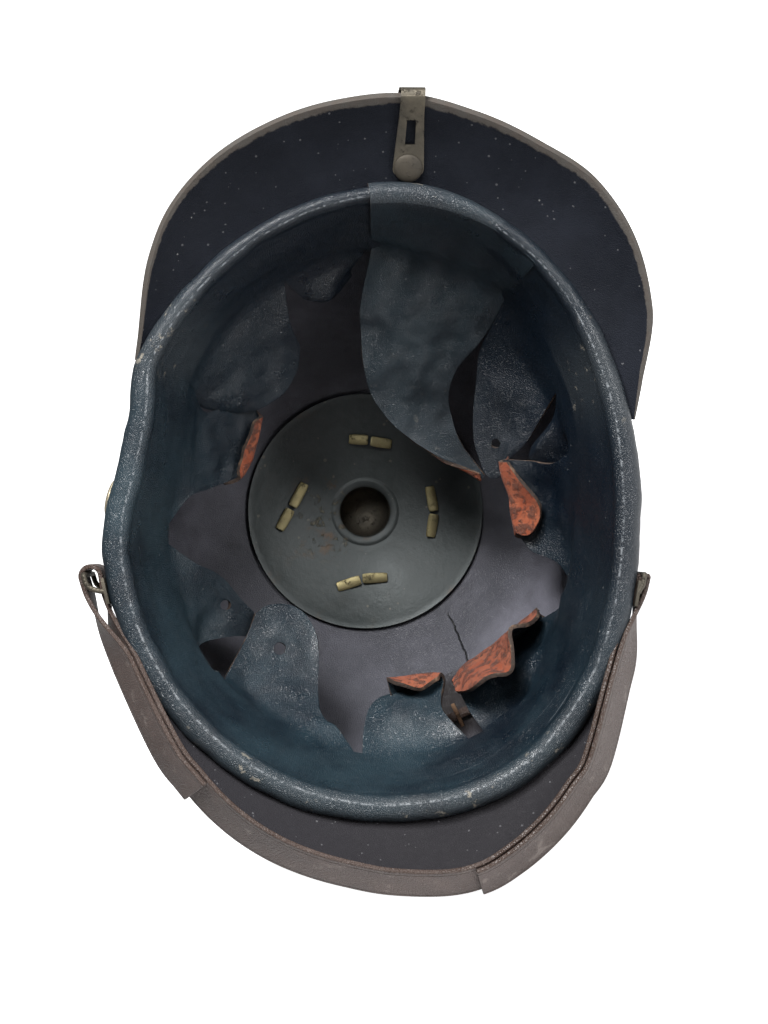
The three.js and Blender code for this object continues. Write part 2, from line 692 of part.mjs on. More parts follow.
function shieldBody() {
  const across = steps(10);
  const face = (row, share, offset) => {
    const turn = degToRad(-90 + lerp(-row.spread, row.spread, share));
    return hullPoint(turn, row.rise, offset);
  };
  const rings = shieldRows.map((row) => [
    ...across.map((share) => face(row, share, gap + 0.2 + shield.thickness)),
    ...across.toReversed().map((share) => face(row, share, gap + 0.2)),
  ]);
  const loops = loopTurns.map((turn) => {
    const half = shield.loopHeight / 2;
    const ear = block(at(-shield.loop / 2, -half, -shield.loopReach), at(shield.loop / 2, half, gap + 0.7));
    const eye = block(at(-3, -peg.width / 2 - gap, 1.2 - shield.loopReach), at(3, peg.width / 2 + gap, -hull.wall - 1.2));
    return geometryOf(solid(ear).subtract(solid(eye))).applyMatrix4(seat(degToRad(turn), shield.loopRise));
  });
  return join(skin(rings), ...loops);
}

function pegBody(turn) {
  const middle = (1.2 - shield.loopReach - hull.wall - 1.2) / 2;
  return block(at(-peg.length / 2, -peg.width / 2, middle - peg.thickness / 2),
    at(peg.length / 2, peg.width / 2, middle + peg.thickness / 2))
    .applyMatrix4(seat(degToRad(turn), shield.loopRise));
}

// ---------------------------------------------------------------- chin strap

/** Where the strap's inner layer runs, seen from above, with the way out from the head. */
function strapLine() {
  const { front } = visors;
  const clear = gap + strap.leather / 2 + strapClear;
  const barPlace = ({ turn, bar, reach }, way) =>
    at(way * bar, 0, reach).applyMatrix4(seat(degToRad(turn), fittingRise));
  const left = barPlace(posts.left, 1);
  const right = barPlace(posts.right, 1);
  const wrap = post.bar + gap + strap.leather / 2;
  const edge = Array.from({ length: 15 }, (_, i) => {
    const place = oval(degToRad(lerp(-36, -140, i / 14)), front.halfWidth + clear, front.halfLength + clear, front.exponent);
    place.x -= front.bow * (place.y / front.halfLength) ** 2;
    return place;
  });
  const start = left.clone().add(at(-wrap, 0, 0)).setZ(0);
  const finish = right.clone().add(at(wrap, 0, 0)).setZ(0);
  const beside = ({ turn, off }) => hullPoint(degToRad(turn), 0, off);
  const path = [start, ...strapBeside.left.map(beside), ...edge, ...strapBeside.right.map(beside), finish];
  return { left, right, wrap, curve: new THREE.CatmullRomCurve3(path, false, 'centripetal') };
}

function strapStations() {
  const { left, right, wrap, curve } = strapLine();
  const station = (share, layer) => {
    const along = curve.getTangentAt(share);
    const out = at(along.y, -along.x, 0).normalize();
    if (out.dot(curve.getPointAt(share)) < 0) {
      out.negate();
    }
    const front = sin(PI * share) ** 0.8;
    const tilt = degToRad(lerp(strap.sideTilt * smoothstep(front, 0, 0.25), strap.frontTilt, smoothstep(front, 0.3, 1)));
    const face = out.clone().multiplyScalar(cos(tilt)).add(at(0, 0, -sin(tilt)));
    const up = out.clone().multiplyScalar(sin(tilt)).add(at(0, 0, cos(tilt)));
    const place = curve.getPointAt(share).setZ(lerp(strap.postHeight, strap.frontHeight, smoothstep(front, 0.1, 1)));
    return { place: place.addScaledVector(face, layer), face, up };
  };
  const spread = (share) => lerp(2 * wrap, strap.layer, smoothstep(min(share, 1 - share), 0, 0.07));
  const turnRound = (bar, from, to) => {
    const centre = bar.clone().setZ(strap.postHeight);
    return steps(6).slice(1, -1).map((share) => {
      const angle = lerp(from, to, share);
      const face = at(cos(angle), sin(angle), 0);
      return { place: centre.clone().addScaledVector(face, wrap), face, up: at(0, 0, 1) };
    });
  };
  const outer = (from, to, count) => steps(count).map((share) => {
    const way = lerp(from, to, share);
    return station(way, spread(way));
  });
  const inner = steps(strap.steps).map((share) => station(share, 0));
  const flip = (row) => row.map(({ place, face, up }) => ({ place, face: face.clone().negate(), up }));
  return [
    ...outer(strap.leftEnd, 0, 12),
    ...turnRound(left, 0, PI),
    ...flip(inner),
    ...turnRound(right, 0, -PI),
    ...outer(1, strap.rightEnd, 16),
  ];
}

function strapBody() {
  const half = strap.width / 2;
  const thick = strap.leather / 2;
  const rings = strapStations().map(({ place, face, up }) => {
    const corner = (side, level) => place.clone().addScaledVector(up, level * half).addScaledVector(face, side * thick);
    return [corner(1, -1), corner(1, 1), corner(-1, 1), corner(-1, -1)];
  });
  return skin(rings);
}

// ---------------------------------------------------------------- the helmet

const finish = {
  blackLeather: { color: 0x2b2c31, roughness: 0.5, metalness: 0 },
  linerLeather: { color: 0x2c3a42, roughness: 0.4, metalness: 0 },
  visorLeather: { color: 0x24262e, roughness: 0.8, metalness: 0 },
  strapLeather: { color: 0x73625c, roughness: 0.7, metalness: 0 },
  greyMetal: { color: 0x6f6b62, roughness: 0.5, metalness: 0.9 },
  darkMetal: { color: 0x3f4441, roughness: 0.5, metalness: 0.7 },
  brassWire: { color: 0x96906a, roughness: 0.5, metalness: 0.9 },
};

const helmet = new THREE.Group();

function add(name, geometry, look) {
  const mesh = new THREE.Mesh(geometry, new THREE.MeshStandardMaterial(finish[look]));
  mesh.name = name;
  helmet.add(mesh);
}

add('crown_shell', crownShell(), 'blackLeather');
add('front_visor', visorShell(visors.front), 'visorLeather');
add('rear_visor', visorShell(visors.rear,
  pin(spineRivet.shank + gap, -6, 6).applyMatrix4(underVisor(rivetReach))), 'visorLeather');
add('liner', linerBody(), 'linerLeather');
add('liner_flap', linerFlap(), 'linerLeather');
add('inner_disc', innerDisc(), 'darkMetal');
add('spike_base', spikeBase(), 'greyMetal');
add('spike', spikeBody(), 'greyMetal');
studs.forEach((row) => add(row.name, studBody(row), 'brassWire'));
add('rear_spine', spineBody(), 'greyMetal');
add('spine_rivet', spineRivetBody(), 'greyMetal');
add('side_button', buttonBody(), 'brassWire');
add('strap_post_left', postBody(posts.left, 1), 'greyMetal');
add('strap_post_right', postBody(posts.right, 1), 'greyMetal');
add('front_shield', shieldBody(), 'greyMetal');
loopTurns.forEach((turn, i) => add(['shield_peg_right', 'shield_peg_left'][i], pegBody(turn), 'strapLeather'));
add('chin_strap', strapBody(), 'strapLeather');

// ---------------------------------------------------------------- at rest

helmet.rotation.set(degToRad(rest.pitch), 0, degToRad(rest.roll));
helmet.updateMatrixWorld(true);
const reach = new THREE.Box3().setFromObject(helmet, true);
helmet.position.set(-(reach.min.x + reach.max.x) / 2, -(reach.min.y + reach.max.y) / 2, -reach.min.z);

export default helmet;
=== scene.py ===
# %% [markdown]
# # A spiked leather helmet, turned over
# The helmet is a blocked leather skull with two visors, a rolled and fingered leather liner, a metal
# spike on a domed base, a metal spine and a chin strap. It lies on its side and on the tip of its spike,
# so the camera looks straight into the worn inside. The measured frame comes first, and every piece
# below is made where the frame says.

# %% Load the frame
from math import atan2, cos, exp, pi, radians, sin, sqrt

import bmesh
import bpy
from mathutils import Matrix, Vector, noise


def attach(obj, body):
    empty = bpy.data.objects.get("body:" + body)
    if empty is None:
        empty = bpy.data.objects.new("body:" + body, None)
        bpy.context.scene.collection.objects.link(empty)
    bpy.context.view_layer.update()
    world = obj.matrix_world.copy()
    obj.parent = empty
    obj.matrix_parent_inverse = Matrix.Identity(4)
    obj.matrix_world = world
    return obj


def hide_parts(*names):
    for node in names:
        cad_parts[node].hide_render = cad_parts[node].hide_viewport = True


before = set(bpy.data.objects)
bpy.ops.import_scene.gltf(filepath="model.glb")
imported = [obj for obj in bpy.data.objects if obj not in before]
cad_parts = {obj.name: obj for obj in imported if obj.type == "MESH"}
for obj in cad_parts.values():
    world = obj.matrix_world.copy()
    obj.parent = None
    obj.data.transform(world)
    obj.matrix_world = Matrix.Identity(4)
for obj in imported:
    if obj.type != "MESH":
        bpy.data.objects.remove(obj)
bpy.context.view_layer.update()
scene = bpy.context.scene
print("nodes:", ", ".join(sorted(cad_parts)))

# %% [markdown]
# ## How the helmet lies
# It is easiest to think of a helmet as it is worn: Z up through the spike, Y to the wearer's back, X to
# the wearer's left, zero at the leather skull's lower edge, all in millimetres. One matrix then turns a
# worn place into its place in the scene. Each mesh keeps its places in the mesh itself.

# %% Worn millimetres to scene metres
REST_PITCH = -119.1
REST_ROLL = -137.4
REST_PLACE = Vector((-0.006116, -0.066671, 0.117144))

lay_down = (
    Matrix.Translation(REST_PLACE)
    @ Matrix.Rotation(radians(REST_PITCH), 4, "X")
    @ Matrix.Rotation(radians(REST_ROLL), 4, "Z")
    @ Matrix.Scale(0.001, 4)
)


def worn(x, y, z):
    """A place on the worn helmet, given in the scene."""
    return lay_down @ Vector((x, y, z))


print("spike points to", tuple(round(v, 2) for v in (worn(0, 0, 1) - worn(0, 0, 0)).normalized()))

# %% [markdown]
# ## Camera
# The camera stands on the helmet's own axis, a little under 60 cm from the rim, and is rolled so that
# the wearer's back is at the top of the picture. The lens is long enough to keep the rim undistorted.

# %% Camera
CAMERA_TARGET = (-4.4, -3.2, 0)
CAMERA_STANDS = (10.6, -16.2, -580)
LENS = 60.15

camera_data = bpy.data.cameras.new("camera")
camera_data.sensor_fit = "VERTICAL"
camera_data.sensor_height = 36
camera_data.lens = LENS
camera = bpy.data.objects.new("camera", camera_data)
scene.collection.objects.link(camera)
camera_place = worn(*CAMERA_STANDS)
looking = (worn(*CAMERA_TARGET) - camera_place).normalized()
picture_up = (worn(0, 1, 0) - worn(0, 0, 0)).normalized()
picture_right = looking.cross(picture_up).normalized()
picture_up = picture_right.cross(looking)
camera_turn = Matrix((picture_right, picture_up, -looking)).transposed()
camera.matrix_world = Matrix.Translation(camera_place) @ camera_turn.to_4x4()
scene.camera = camera
print("camera height %.2f m" % camera_place.z)

# %% [markdown]
# ## Floor and light
# A pale floor and wide soft lights keep the surroundings plain. The strongest light comes from the
# side of the wearer's back, so the inside of the crown is lit at the front and stays dark at the rear.

# %% Floor and lights
floor_mesh = bmesh.new()
bmesh.ops.create_grid(floor_mesh, x_segments=1, y_segments=1, size=6)
floor_data = bpy.data.meshes.new("floor")
floor_mesh.to_mesh(floor_data)
floor_mesh.free()
floor = bpy.data.objects.new("floor", floor_data)
scene.collection.objects.link(floor)


def soft_light(name, stands, aims, width, power):
    """A square soft light at a place round the worn helmet."""
    data = bpy.data.lights.new(name, "AREA")
    data.shape = "SQUARE"
    data.size = width
    data.energy = power
    light = bpy.data.objects.new(name, data)
    place = worn(*stands)
    turned_to = (worn(*aims) - place).to_track_quat("-Z", "Y").to_matrix().to_4x4()
    light.matrix_world = Matrix.Translation(place) @ turned_to
    scene.collection.objects.link(light)
    print(name, "at height %.2f m" % place.z)


soft_light("key", (330, 540, -480), (0, -30, 60), 0.20, 7.5)
soft_light("side", (-420, 260, -560), (0, 0, 40), 0.20, 2.2)
soft_light("front", (170, 410, -610), (0, 0, 60), 0.26, 4.6)

world = bpy.data.worlds.new("studio")
scene.world = world
world.use_nodes = True
world.node_tree.nodes["Background"].inputs["Color"].default_value = (1, 1, 1, 1)
world.node_tree.nodes["Background"].inputs["Strength"].default_value = 0.12
scene.view_settings.view_transform = "Standard"

# %% [markdown]
# ## Finishes
# A finish is a shader plus the small things that happened to the surface: grain, dust, scuffs, rust.
# Those small things are shared, so each one is a node group that gives a mask or a height, and the
# shader itself stays in the material.

# %% Node helpers
class Wiring:
    """Adds and joins nodes in one tree."""

    def __init__(self, tree):
        self.tree = tree

    def add(self, kind, settings=None, **inputs):
        node = self.tree.nodes.new(kind)
        for key, value in (settings or {}).items():
            setattr(node, key, value)
        for key, value in inputs.items():
            self.feed(node, key.replace("_", " "), value)
        return node

    def feed(self, node, name, value):
        socket = node.inputs[name] if not name.isdigit() else node.inputs[int(name)]
        if isinstance(value, bpy.types.NodeSocket):
            self.tree.links.new(value, socket)
        else:
            socket.default_value = value

    def math(self, operation, first, second=0.0):
        node = self.tree.nodes.new("ShaderNodeMath")
        node.operation = operation
        for socket, value in zip(node.inputs, (first, second)):
            if isinstance(value, bpy.types.NodeSocket):
                self.tree.links.new(value, socket)
            else:
                socket.default_value = value
        return node.outputs[0]

    def ramp(self, value, low, high, start=0.0, end=1.0):
        """A smooth step from start to end while value goes from low to high."""
        node = self.tree.nodes.new("ShaderNodeMapRange")
        node.interpolation_type = "SMOOTHSTEP"
        for socket, number in zip(node.inputs[1:5], (low, high, start, end)):
            socket.default_value = number
        self.feed(node, "Value", value)
        return node.outputs["Result"]

    def mix(self, share, first, second):
        """One colour over another."""
        node = self.tree.nodes.new("ShaderNodeMix")
        node.data_type = "RGBA"
        for socket, value in ((node.inputs[0], share), (node.inputs[6], first), (node.inputs[7], second)):
            if isinstance(value, bpy.types.NodeSocket):
                self.tree.links.new(value, socket)
            else:
                socket.default_value = value if isinstance(value, float) else (*value, 1)
        return node.outputs[2]


def node_group(name, inputs, outputs):
    """An empty group with named sockets. Returns its wiring, input node and output node."""
    tree = bpy.data.node_groups.new(name, "ShaderNodeTree")
    for label, kind, value in inputs:
        socket = tree.interface.new_socket(label, in_out="INPUT", socket_type=kind)
        if value is not None:
            socket.default_value = value
    for label, kind in outputs:
        tree.interface.new_socket(label, in_out="OUTPUT", socket_type=kind)
    wiring = Wiring(tree)
    return wiring, wiring.add("NodeGroupInput"), wiring.add("NodeGroupOutput")


FLOAT = "NodeSocketFloat"
VECTOR = "NodeSocketVector"

# %% [markdown]
# **Grain.** Leather has small cells with furrows between them, and softer swells under those. Distance
# to the nearest cell edge gives the furrows, and noise gives the swells.

# %% Leather grain
w, given, result = node_group(
    "leather_grain",
    [("Place", VECTOR, None), ("Cells", FLOAT, 900.0), ("Swell", FLOAT, 0.5)],
    [("Height", FLOAT)],
)
bent = w.add("ShaderNodeTexNoise", Vector=given.outputs["Place"], Scale=260.0, Detail=3.0)
off = w.add("ShaderNodeVectorMath", {"operation": "SCALE"}, **{"0": bent.outputs["Color"], "Scale": 0.0016})
place = w.add(
    "ShaderNodeVectorMath", {"operation": "ADD"}, **{"0": given.outputs["Place"], "1": off.outputs[0]}
)
cells = w.add("ShaderNodeTexVoronoi", {"feature": "DISTANCE_TO_EDGE"}, Vector=place.outputs[0])
w.feed(cells, "Scale", given.outputs["Cells"])
furrow = w.ramp(cells.outputs["Distance"], 0.0, 0.22)
swell = w.add("ShaderNodeTexNoise", Vector=given.outputs["Place"], Scale=95.0, Detail=5.0, Roughness=0.6)
swelling = w.math("MULTIPLY", swell.outputs["Fac"], given.outputs["Swell"])
height = w.math("ADD", w.math("MULTIPLY", furrow, 0.35), swelling)
w.feed(result, "Height", height)
print("group", w.tree.name)

# %% [markdown]
# **Patches** are places where a finish has worn or stained: broad noise decides where, fine noise frays
# the edge. **Specks** are single grains of dust: each cell has one, and only a few cells show it.

# %% Patches and specks
w, given, result = node_group(
    "patches",
    [("Place", VECTOR, None), ("Size", FLOAT, 30.0), ("Low", FLOAT, 0.5), ("High", FLOAT, 0.6)],
    [("Mask", FLOAT)],
)
broad = w.add("ShaderNodeTexNoise", Vector=given.outputs["Place"], Detail=7.0, Roughness=0.68)
w.feed(broad, "Scale", given.outputs["Size"])
step = w.tree.nodes.new("ShaderNodeMapRange")
step.interpolation_type = "SMOOTHSTEP"
w.feed(step, "Value", broad.outputs["Fac"])
w.feed(step, "From Min", given.outputs["Low"])
w.feed(step, "From Max", given.outputs["High"])
w.feed(result, "Mask", step.outputs["Result"])

w, given, result = node_group(
    "specks",
    [("Place", VECTOR, None), ("Cells", FLOAT, 300.0), ("Amount", FLOAT, 0.1), ("Width", FLOAT, 0.3)],
    [("Mask", FLOAT)],
)
cells = w.add("ShaderNodeTexVoronoi", Vector=given.outputs["Place"])
w.feed(cells, "Scale", given.outputs["Cells"])
lot = w.add("ShaderNodeSeparateColor", Color=cells.outputs["Color"])
chosen = w.math("LESS_THAN", lot.outputs["Red"], given.outputs["Amount"])
width = w.math("MULTIPLY", given.outputs["Width"], w.math("ADD", lot.outputs["Green"], 0.25))
dot = w.math("LESS_THAN", cells.outputs["Distance"], width)
w.feed(result, "Mask", w.math("MULTIPLY", chosen, dot))
print("groups patches and specks")

# %% Starting a material
def material(name):
    """A new material: its wiring, its shader and its places on the object."""
    made = bpy.data.materials.new(name)
    made.use_nodes = True
    wiring = Wiring(made.node_tree)
    shader = made.node_tree.nodes["Principled BSDF"]
    places = wiring.add("ShaderNodeTexCoord")
    return made, wiring, shader, places.outputs["Object"], places.outputs["UV"]


def use_group(wiring, name, output, **inputs):
    """The output of a shared group."""
    node = wiring.add("ShaderNodeGroup", {"node_tree": bpy.data.node_groups[name]}, **inputs)
    return node.outputs[output]


def bumped(wiring, shader, height, distance, strength=1.0):
    """Lets a height change how the surface catches the light."""
    bump = wiring.add("ShaderNodeBump", Height=height, Distance=distance, Strength=strength)
    wiring.feed(shader, "Normal", bump.outputs["Normal"])


def painted(wiring, name):
    """A value painted on the mesh's corners."""
    return wiring.add("ShaderNodeAttribute", {"attribute_name": name}).outputs["Fac"]


FLOOR_WHITE = (0.92, 0.92, 0.92)
FLOOR_SEEN = 1.0
FLOOR_LENDS = 0.10
floor_finish, w, shader, place, uv = material("floor_white")
shader.inputs["Base Color"].default_value = (*FLOOR_WHITE, 1)
shader.inputs["Roughness"].default_value = 0.9
tint = w.add("ShaderNodeTexNoise", Vector=place, Scale=2.0)
faint = w.math("MULTIPLY", tint.outputs["Fac"], 0.06)
w.feed(shader, "Base Color", w.mix(faint, FLOOR_WHITE, (0.86, 0.86, 0.87)))
seen = w.add("ShaderNodeLightPath").outputs["Is Camera Ray"]
glow = w.math("ADD", w.math("MULTIPLY", seen, FLOOR_SEEN - FLOOR_LENDS), FLOOR_LENDS)
w.feed(shader, "Emission Color", w.mix(glow, (0.0, 0.0, 0.0), (1.0, 1.0, 1.0)))
shader.inputs["Emission Strength"].default_value = 1.0
floor.data.materials.append(floor_finish)

# %% [markdown]
# ** Liner leather** was black and glossy. It has gone blue-grey in patches where hair and hands rubbed it,
# and those patches are held back by painted shade, so it looks darker towards the wearer's back and right.
# Its top layer has flaked off in small pale spots wherever a fold or the rolled lip stands proud. Those
# proud places are painted on the mesh as a value called wear. A broken pale line along the rolled lip
# is a painted highlight.

# %% Liner leather
LINER_BLACK = (0.0025, 0.006, 0.012)
LINER_RUBBED = (0.020, 0.038, 0.050)
LINER_FLAKED = (0.30, 0.27, 0.22)
# Where the painted highlight line runs across the rolled lip, as a share of the lip-and-band map.
HIGHLIGHT_CREST = 0.37

liner_leather, w, shader, place, uv = material("liner_leather")
wear = painted(w, "wear")
rubbed = use_group(w, "patches", "Mask", Place=place, Size=22.0, Low=0.30, High=0.70)
# Painted shade: the rubbed patches fade out towards the wearer's back and right, so the liner there stays
# darker.
rubbed = w.math("MULTIPLY", rubbed, painted(w, "painted_light_share"))
flaked = use_group(w, "patches", "Mask", Place=place, Size=150.0, Low=0.60, High=0.66)
flaked = w.math("MULTIPLY", flaked, w.ramp(wear, 0.35, 1.0))
dust = use_group(w, "specks", "Mask", Place=place, Cells=520.0, Amount=0.03, Width=0.20)
colour = w.mix(rubbed, LINER_BLACK, LINER_RUBBED)
colour = w.mix(w.math("MULTIPLY", wear, 0.5), colour, (0.050, 0.058, 0.064))
colour = w.mix(w.math("MULTIPLY", flaked, 0.8), colour, LINER_FLAKED)
colour = w.mix(w.math("MULTIPLY", dust, 0.25), colour, (0.35, 0.36, 0.36))
# Painted highlight: a broken pale line along the crest of the rolled lip, where a lamp's reflection runs.
crest_highlight = w.add("ShaderNodeTexNoise", Vector=place, Scale=45.0).outputs["Fac"]
crest_highlight = w.math("ADD", w.add("ShaderNodeSeparateXYZ", Vector=uv).outputs["Y"], w.math("MULTIPLY", crest_highlight, 0.05))
crest_highlight = w.ramp(w.math("ABSOLUTE", w.math("SUBTRACT", crest_highlight, HIGHLIGHT_CREST)), 0.001, 0.020, 1.0, 0.0)
highlight_pieces = use_group(w, "patches", "Mask", Place=place, Size=650.0, Low=0.46, High=0.58)
crest_highlight = w.math("MULTIPLY", w.math("MULTIPLY", crest_highlight, highlight_pieces), painted(w, "lip"))
colour = w.mix(w.math("MULTIPLY", crest_highlight, 0.6), colour, (0.27, 0.29, 0.31))
run = w.add(
    "ShaderNodeVectorMath", {"operation": "MULTIPLY"}, **{"0": uv, "1": (14.0, 150.0, 1.0)}
).outputs[0]
scratch = w.ramp(w.add("ShaderNodeTexNoise", Vector=run, Scale=1.0, Detail=3.0).outputs["Fac"], 0.67, 0.71)
scratch = w.math("MULTIPLY", scratch, painted(w, "scratched"))
colour = w.mix(w.math("MULTIPLY", scratch, 0.45), colour, (0.20, 0.22, 0.24))
w.feed(shader, "Base Color", colour)
rough = use_group(w, "patches", "Mask", Place=place, Size=60.0, Low=0.35, High=0.65)
rough_base = w.math("ADD", w.math("MULTIPLY", rough, 0.14), 0.27)
w.feed(shader, "Roughness", w.math("ADD", rough_base, w.math("MULTIPLY", flaked, 0.35)))
grain = use_group(w, "leather_grain", "Height", Place=place, Cells=1500.0, Swell=1.3)
bumped(w, shader, grain, 0.00035, 0.8)
shader.inputs["Specular IOR Level"].default_value = 0.5

# %% [markdown]
# **Suede and cut edges.** The back of the liner is the flesh side: orange-brown, fibrous and stained.
# Where a finger curls over, that side shows. A cut edge is paler and drier.

# %% Suede and cut edge
SUEDE = (0.30, 0.058, 0.018)
SUEDE_PALE = (0.38, 0.105, 0.045)
SUEDE_STAIN = (0.060, 0.024, 0.016)

suede, w, shader, place, uv = material("suede")
pale = use_group(w, "patches", "Mask", Place=place, Size=120.0, Low=0.40, High=0.68)
stain = use_group(w, "patches", "Mask", Place=place, Size=260.0, Low=0.48, High=0.64)
fibre = w.add("ShaderNodeTexNoise", Vector=place, Scale=1500.0, Detail=4.0, Roughness=0.7)
colour = w.mix(pale, SUEDE, SUEDE_PALE)
colour = w.mix(w.math("MULTIPLY", stain, 0.75), colour, SUEDE_STAIN)
colour = w.mix(w.math("MULTIPLY", fibre.outputs["Fac"], 0.35), colour, (0.16, 0.075, 0.05))
w.feed(shader, "Base Color", colour)
shader.inputs["Roughness"].default_value = 0.95
shader.inputs["Sheen Weight"].default_value = 0.06
shader.inputs["Sheen Roughness"].default_value = 0.4
bumped(w, shader, w.math("ADD", fibre.outputs["Fac"], w.math("MULTIPLY", stain, 1.5)), 0.0006)

cut_edge, w, shader, place, uv = material("cut_edge")
pale = use_group(w, "patches", "Mask", Place=place, Size=170.0, Low=0.50, High=0.68)
fray = w.add("ShaderNodeTexNoise", Vector=place, Scale=1100.0, Detail=3.0)
colour = w.mix(pale, (0.030, 0.022, 0.018), (0.24, 0.15, 0.095))
colour = w.mix(w.math("MULTIPLY", fray.outputs["Fac"], 0.35), colour, (0.12, 0.07, 0.05))
w.feed(shader, "Base Color", colour)
shader.inputs["Roughness"].default_value = 0.85
bumped(w, shader, fray.outputs["Fac"], 0.0005)
print("liner finishes made")

# %% [markdown]
# **Skull and visor leather.** The inside of the skull is a satin grey-black with soft clouds and one old
# crack. The visors are nearly matt, dusty underneath, and worn back to a grey-brown core at the rim.

# %% Skull leather
SKULL_BLACK = (0.065, 0.066, 0.078)
SKULL_CLOUD = (0.165, 0.163, 0.195)
CRACK_TURN = 0.6417  # the crack's top, as a share of the way round, and its lean
CRACK_SLOPE = 0.0797
CRACK_FOOT = 0.496  # its two ends, as shares of the climb
CRACK_TOP = 0.698

skull_leather, w, shader, place, uv = material("skull_leather")
cloud = use_group(w, "patches", "Mask", Place=place, Size=14.0, Low=0.35, High=0.75)
stain = use_group(w, "patches", "Mask", Place=place, Size=70.0, Low=0.55, High=0.75)
around = w.add("ShaderNodeSeparateXYZ", Vector=uv)
climb = around.outputs["Y"]
wander = w.add("ShaderNodeTexNoise", Vector=place, Scale=210.0, Detail=3.0).outputs["Fac"]
crack_line = w.math("ADD", w.math("MULTIPLY", climb, -CRACK_SLOPE), CRACK_TURN + CRACK_SLOPE * CRACK_TOP)
crack_line = w.math("ADD", crack_line, w.math("MULTIPLY", w.math("SUBTRACT", wander, 0.5), 0.006))
from_crack = w.math("ABSOLUTE", w.math("SUBTRACT", around.outputs["X"], crack_line))
crack = w.ramp(from_crack, 0.0005, 0.0013, 1.0, 0.0)
crack = w.math("MULTIPLY", crack, w.ramp(climb, CRACK_FOOT - 0.01, CRACK_FOOT + 0.01))
crack = w.math("MULTIPLY", crack, w.ramp(climb, CRACK_TOP - 0.01, CRACK_TOP, 1.0, 0.0))
colour = w.mix(cloud, SKULL_BLACK, SKULL_CLOUD)
colour = w.mix(w.math("MULTIPLY", stain, 0.45), colour, (0.025, 0.024, 0.026))
# Painted shade: near-black in the gap between the two front fingers.
colour = w.mix(w.math("MULTIPLY", painted(w, "finger_gap_shade"), 0.9), colour, (0.014, 0.011, 0.010))
colour = w.mix(crack, colour, (0.006, 0.006, 0.007))
w.feed(shader, "Base Color", colour)
rough = use_group(w, "patches", "Mask", Place=place, Size=45.0, Low=0.3, High=0.7)
w.feed(shader, "Roughness", w.math("ADD", w.math("MULTIPLY", rough, 0.12), 0.36))
grain = use_group(w, "leather_grain", "Height", Place=place, Cells=1300.0, Swell=0.5)
bumped(w, shader, w.math("SUBTRACT", grain, w.math("MULTIPLY", crack, 2.0)), 0.00022)

# %% Visor leather
VISOR_PAINTED_LIGHT = (0.027, 0.025, 0.028)
VISOR_BLACK = (0.0035, 0.0048, 0.0085)
VISOR_DUSTY = (0.010, 0.012, 0.018)
VISOR_CORE = (0.085, 0.072, 0.062)

visor_leather, w, shader, place, uv = material("visor_leather")
across = w.add("ShaderNodeSeparateXYZ", Vector=uv).outputs["Y"]
dusty = use_group(w, "patches", "Mask", Place=place, Size=20.0, Low=0.35, High=0.7)
coarse = use_group(w, "specks", "Mask", Place=place, Cells=430.0, Amount=0.012, Width=0.15)
fine = use_group(w, "specks", "Mask", Place=place, Cells=900.0, Amount=0.05, Width=0.30)
fray = use_group(w, "patches", "Mask", Place=place, Size=260.0, Low=0.35, High=0.65)
rim = w.ramp(w.math("ADD", across, w.math("MULTIPLY", fray, 0.02)), 0.940, 0.965)
colour = w.mix(dusty, VISOR_BLACK, VISOR_DUSTY)
# Painted light: the front visor is lighter, as if lit from above, while the rear visor stays dark.
colour = w.mix(w.math("MULTIPLY", painted(w, "painted_light_front"), 0.8), colour, VISOR_PAINTED_LIGHT)
colour = w.mix(w.math("MULTIPLY", coarse, 0.55), colour, (0.30, 0.30, 0.30))
colour = w.mix(w.math("MULTIPLY", fine, 0.30), colour, (0.26, 0.26, 0.27))
worn_core = w.mix(fray, VISOR_CORE, (0.085, 0.078, 0.070))
colour = w.mix(w.math("MULTIPLY", rim, 0.9), colour, worn_core)
colour = w.mix(painted(w, "chip"), colour, (0.45, 0.13, 0.05))
w.feed(shader, "Base Color", colour)
w.feed(shader, "Roughness", w.math("ADD", w.math("MULTIPLY", dusty, 0.15), 0.62))
grain = use_group(w, "leather_grain", "Height", Place=place, Cells=1400.0, Swell=0.6)
bumped(w, shader, grain, 0.00025)
shader.inputs["Specular IOR Level"].default_value = 0.16

# %% [markdown]
# ** Strap leather** is dry and brown, smooth in the middle, with a line pressed along each edge. The
# lines and the darker edges follow the strap, so they use its own map: along it, then across it.

# %% Strap leather
STRAP_BROWN = (0.072, 0.050, 0.044)
STRAP_PALE = (0.155, 0.117, 0.105)
STRAP_DARK = (0.045, 0.026, 0.018)

strap_leather, w, shader, place, uv = material("strap_leather")
across = w.add("ShaderNodeSeparateXYZ", Vector=uv).outputs["Y"]
from_middle = w.math("ABSOLUTE", w.math("SUBTRACT", across, 0.5))
line = w.ramp(w.math("ABSOLUTE", w.math("SUBTRACT", from_middle, 0.40)), 0.012, 0.03, 1.0, 0.0)
edge = w.ramp(from_middle, 0.44, 0.49)
dry = use_group(w, "patches", "Mask", Place=place, Size=26.0, Low=0.36, High=0.70)
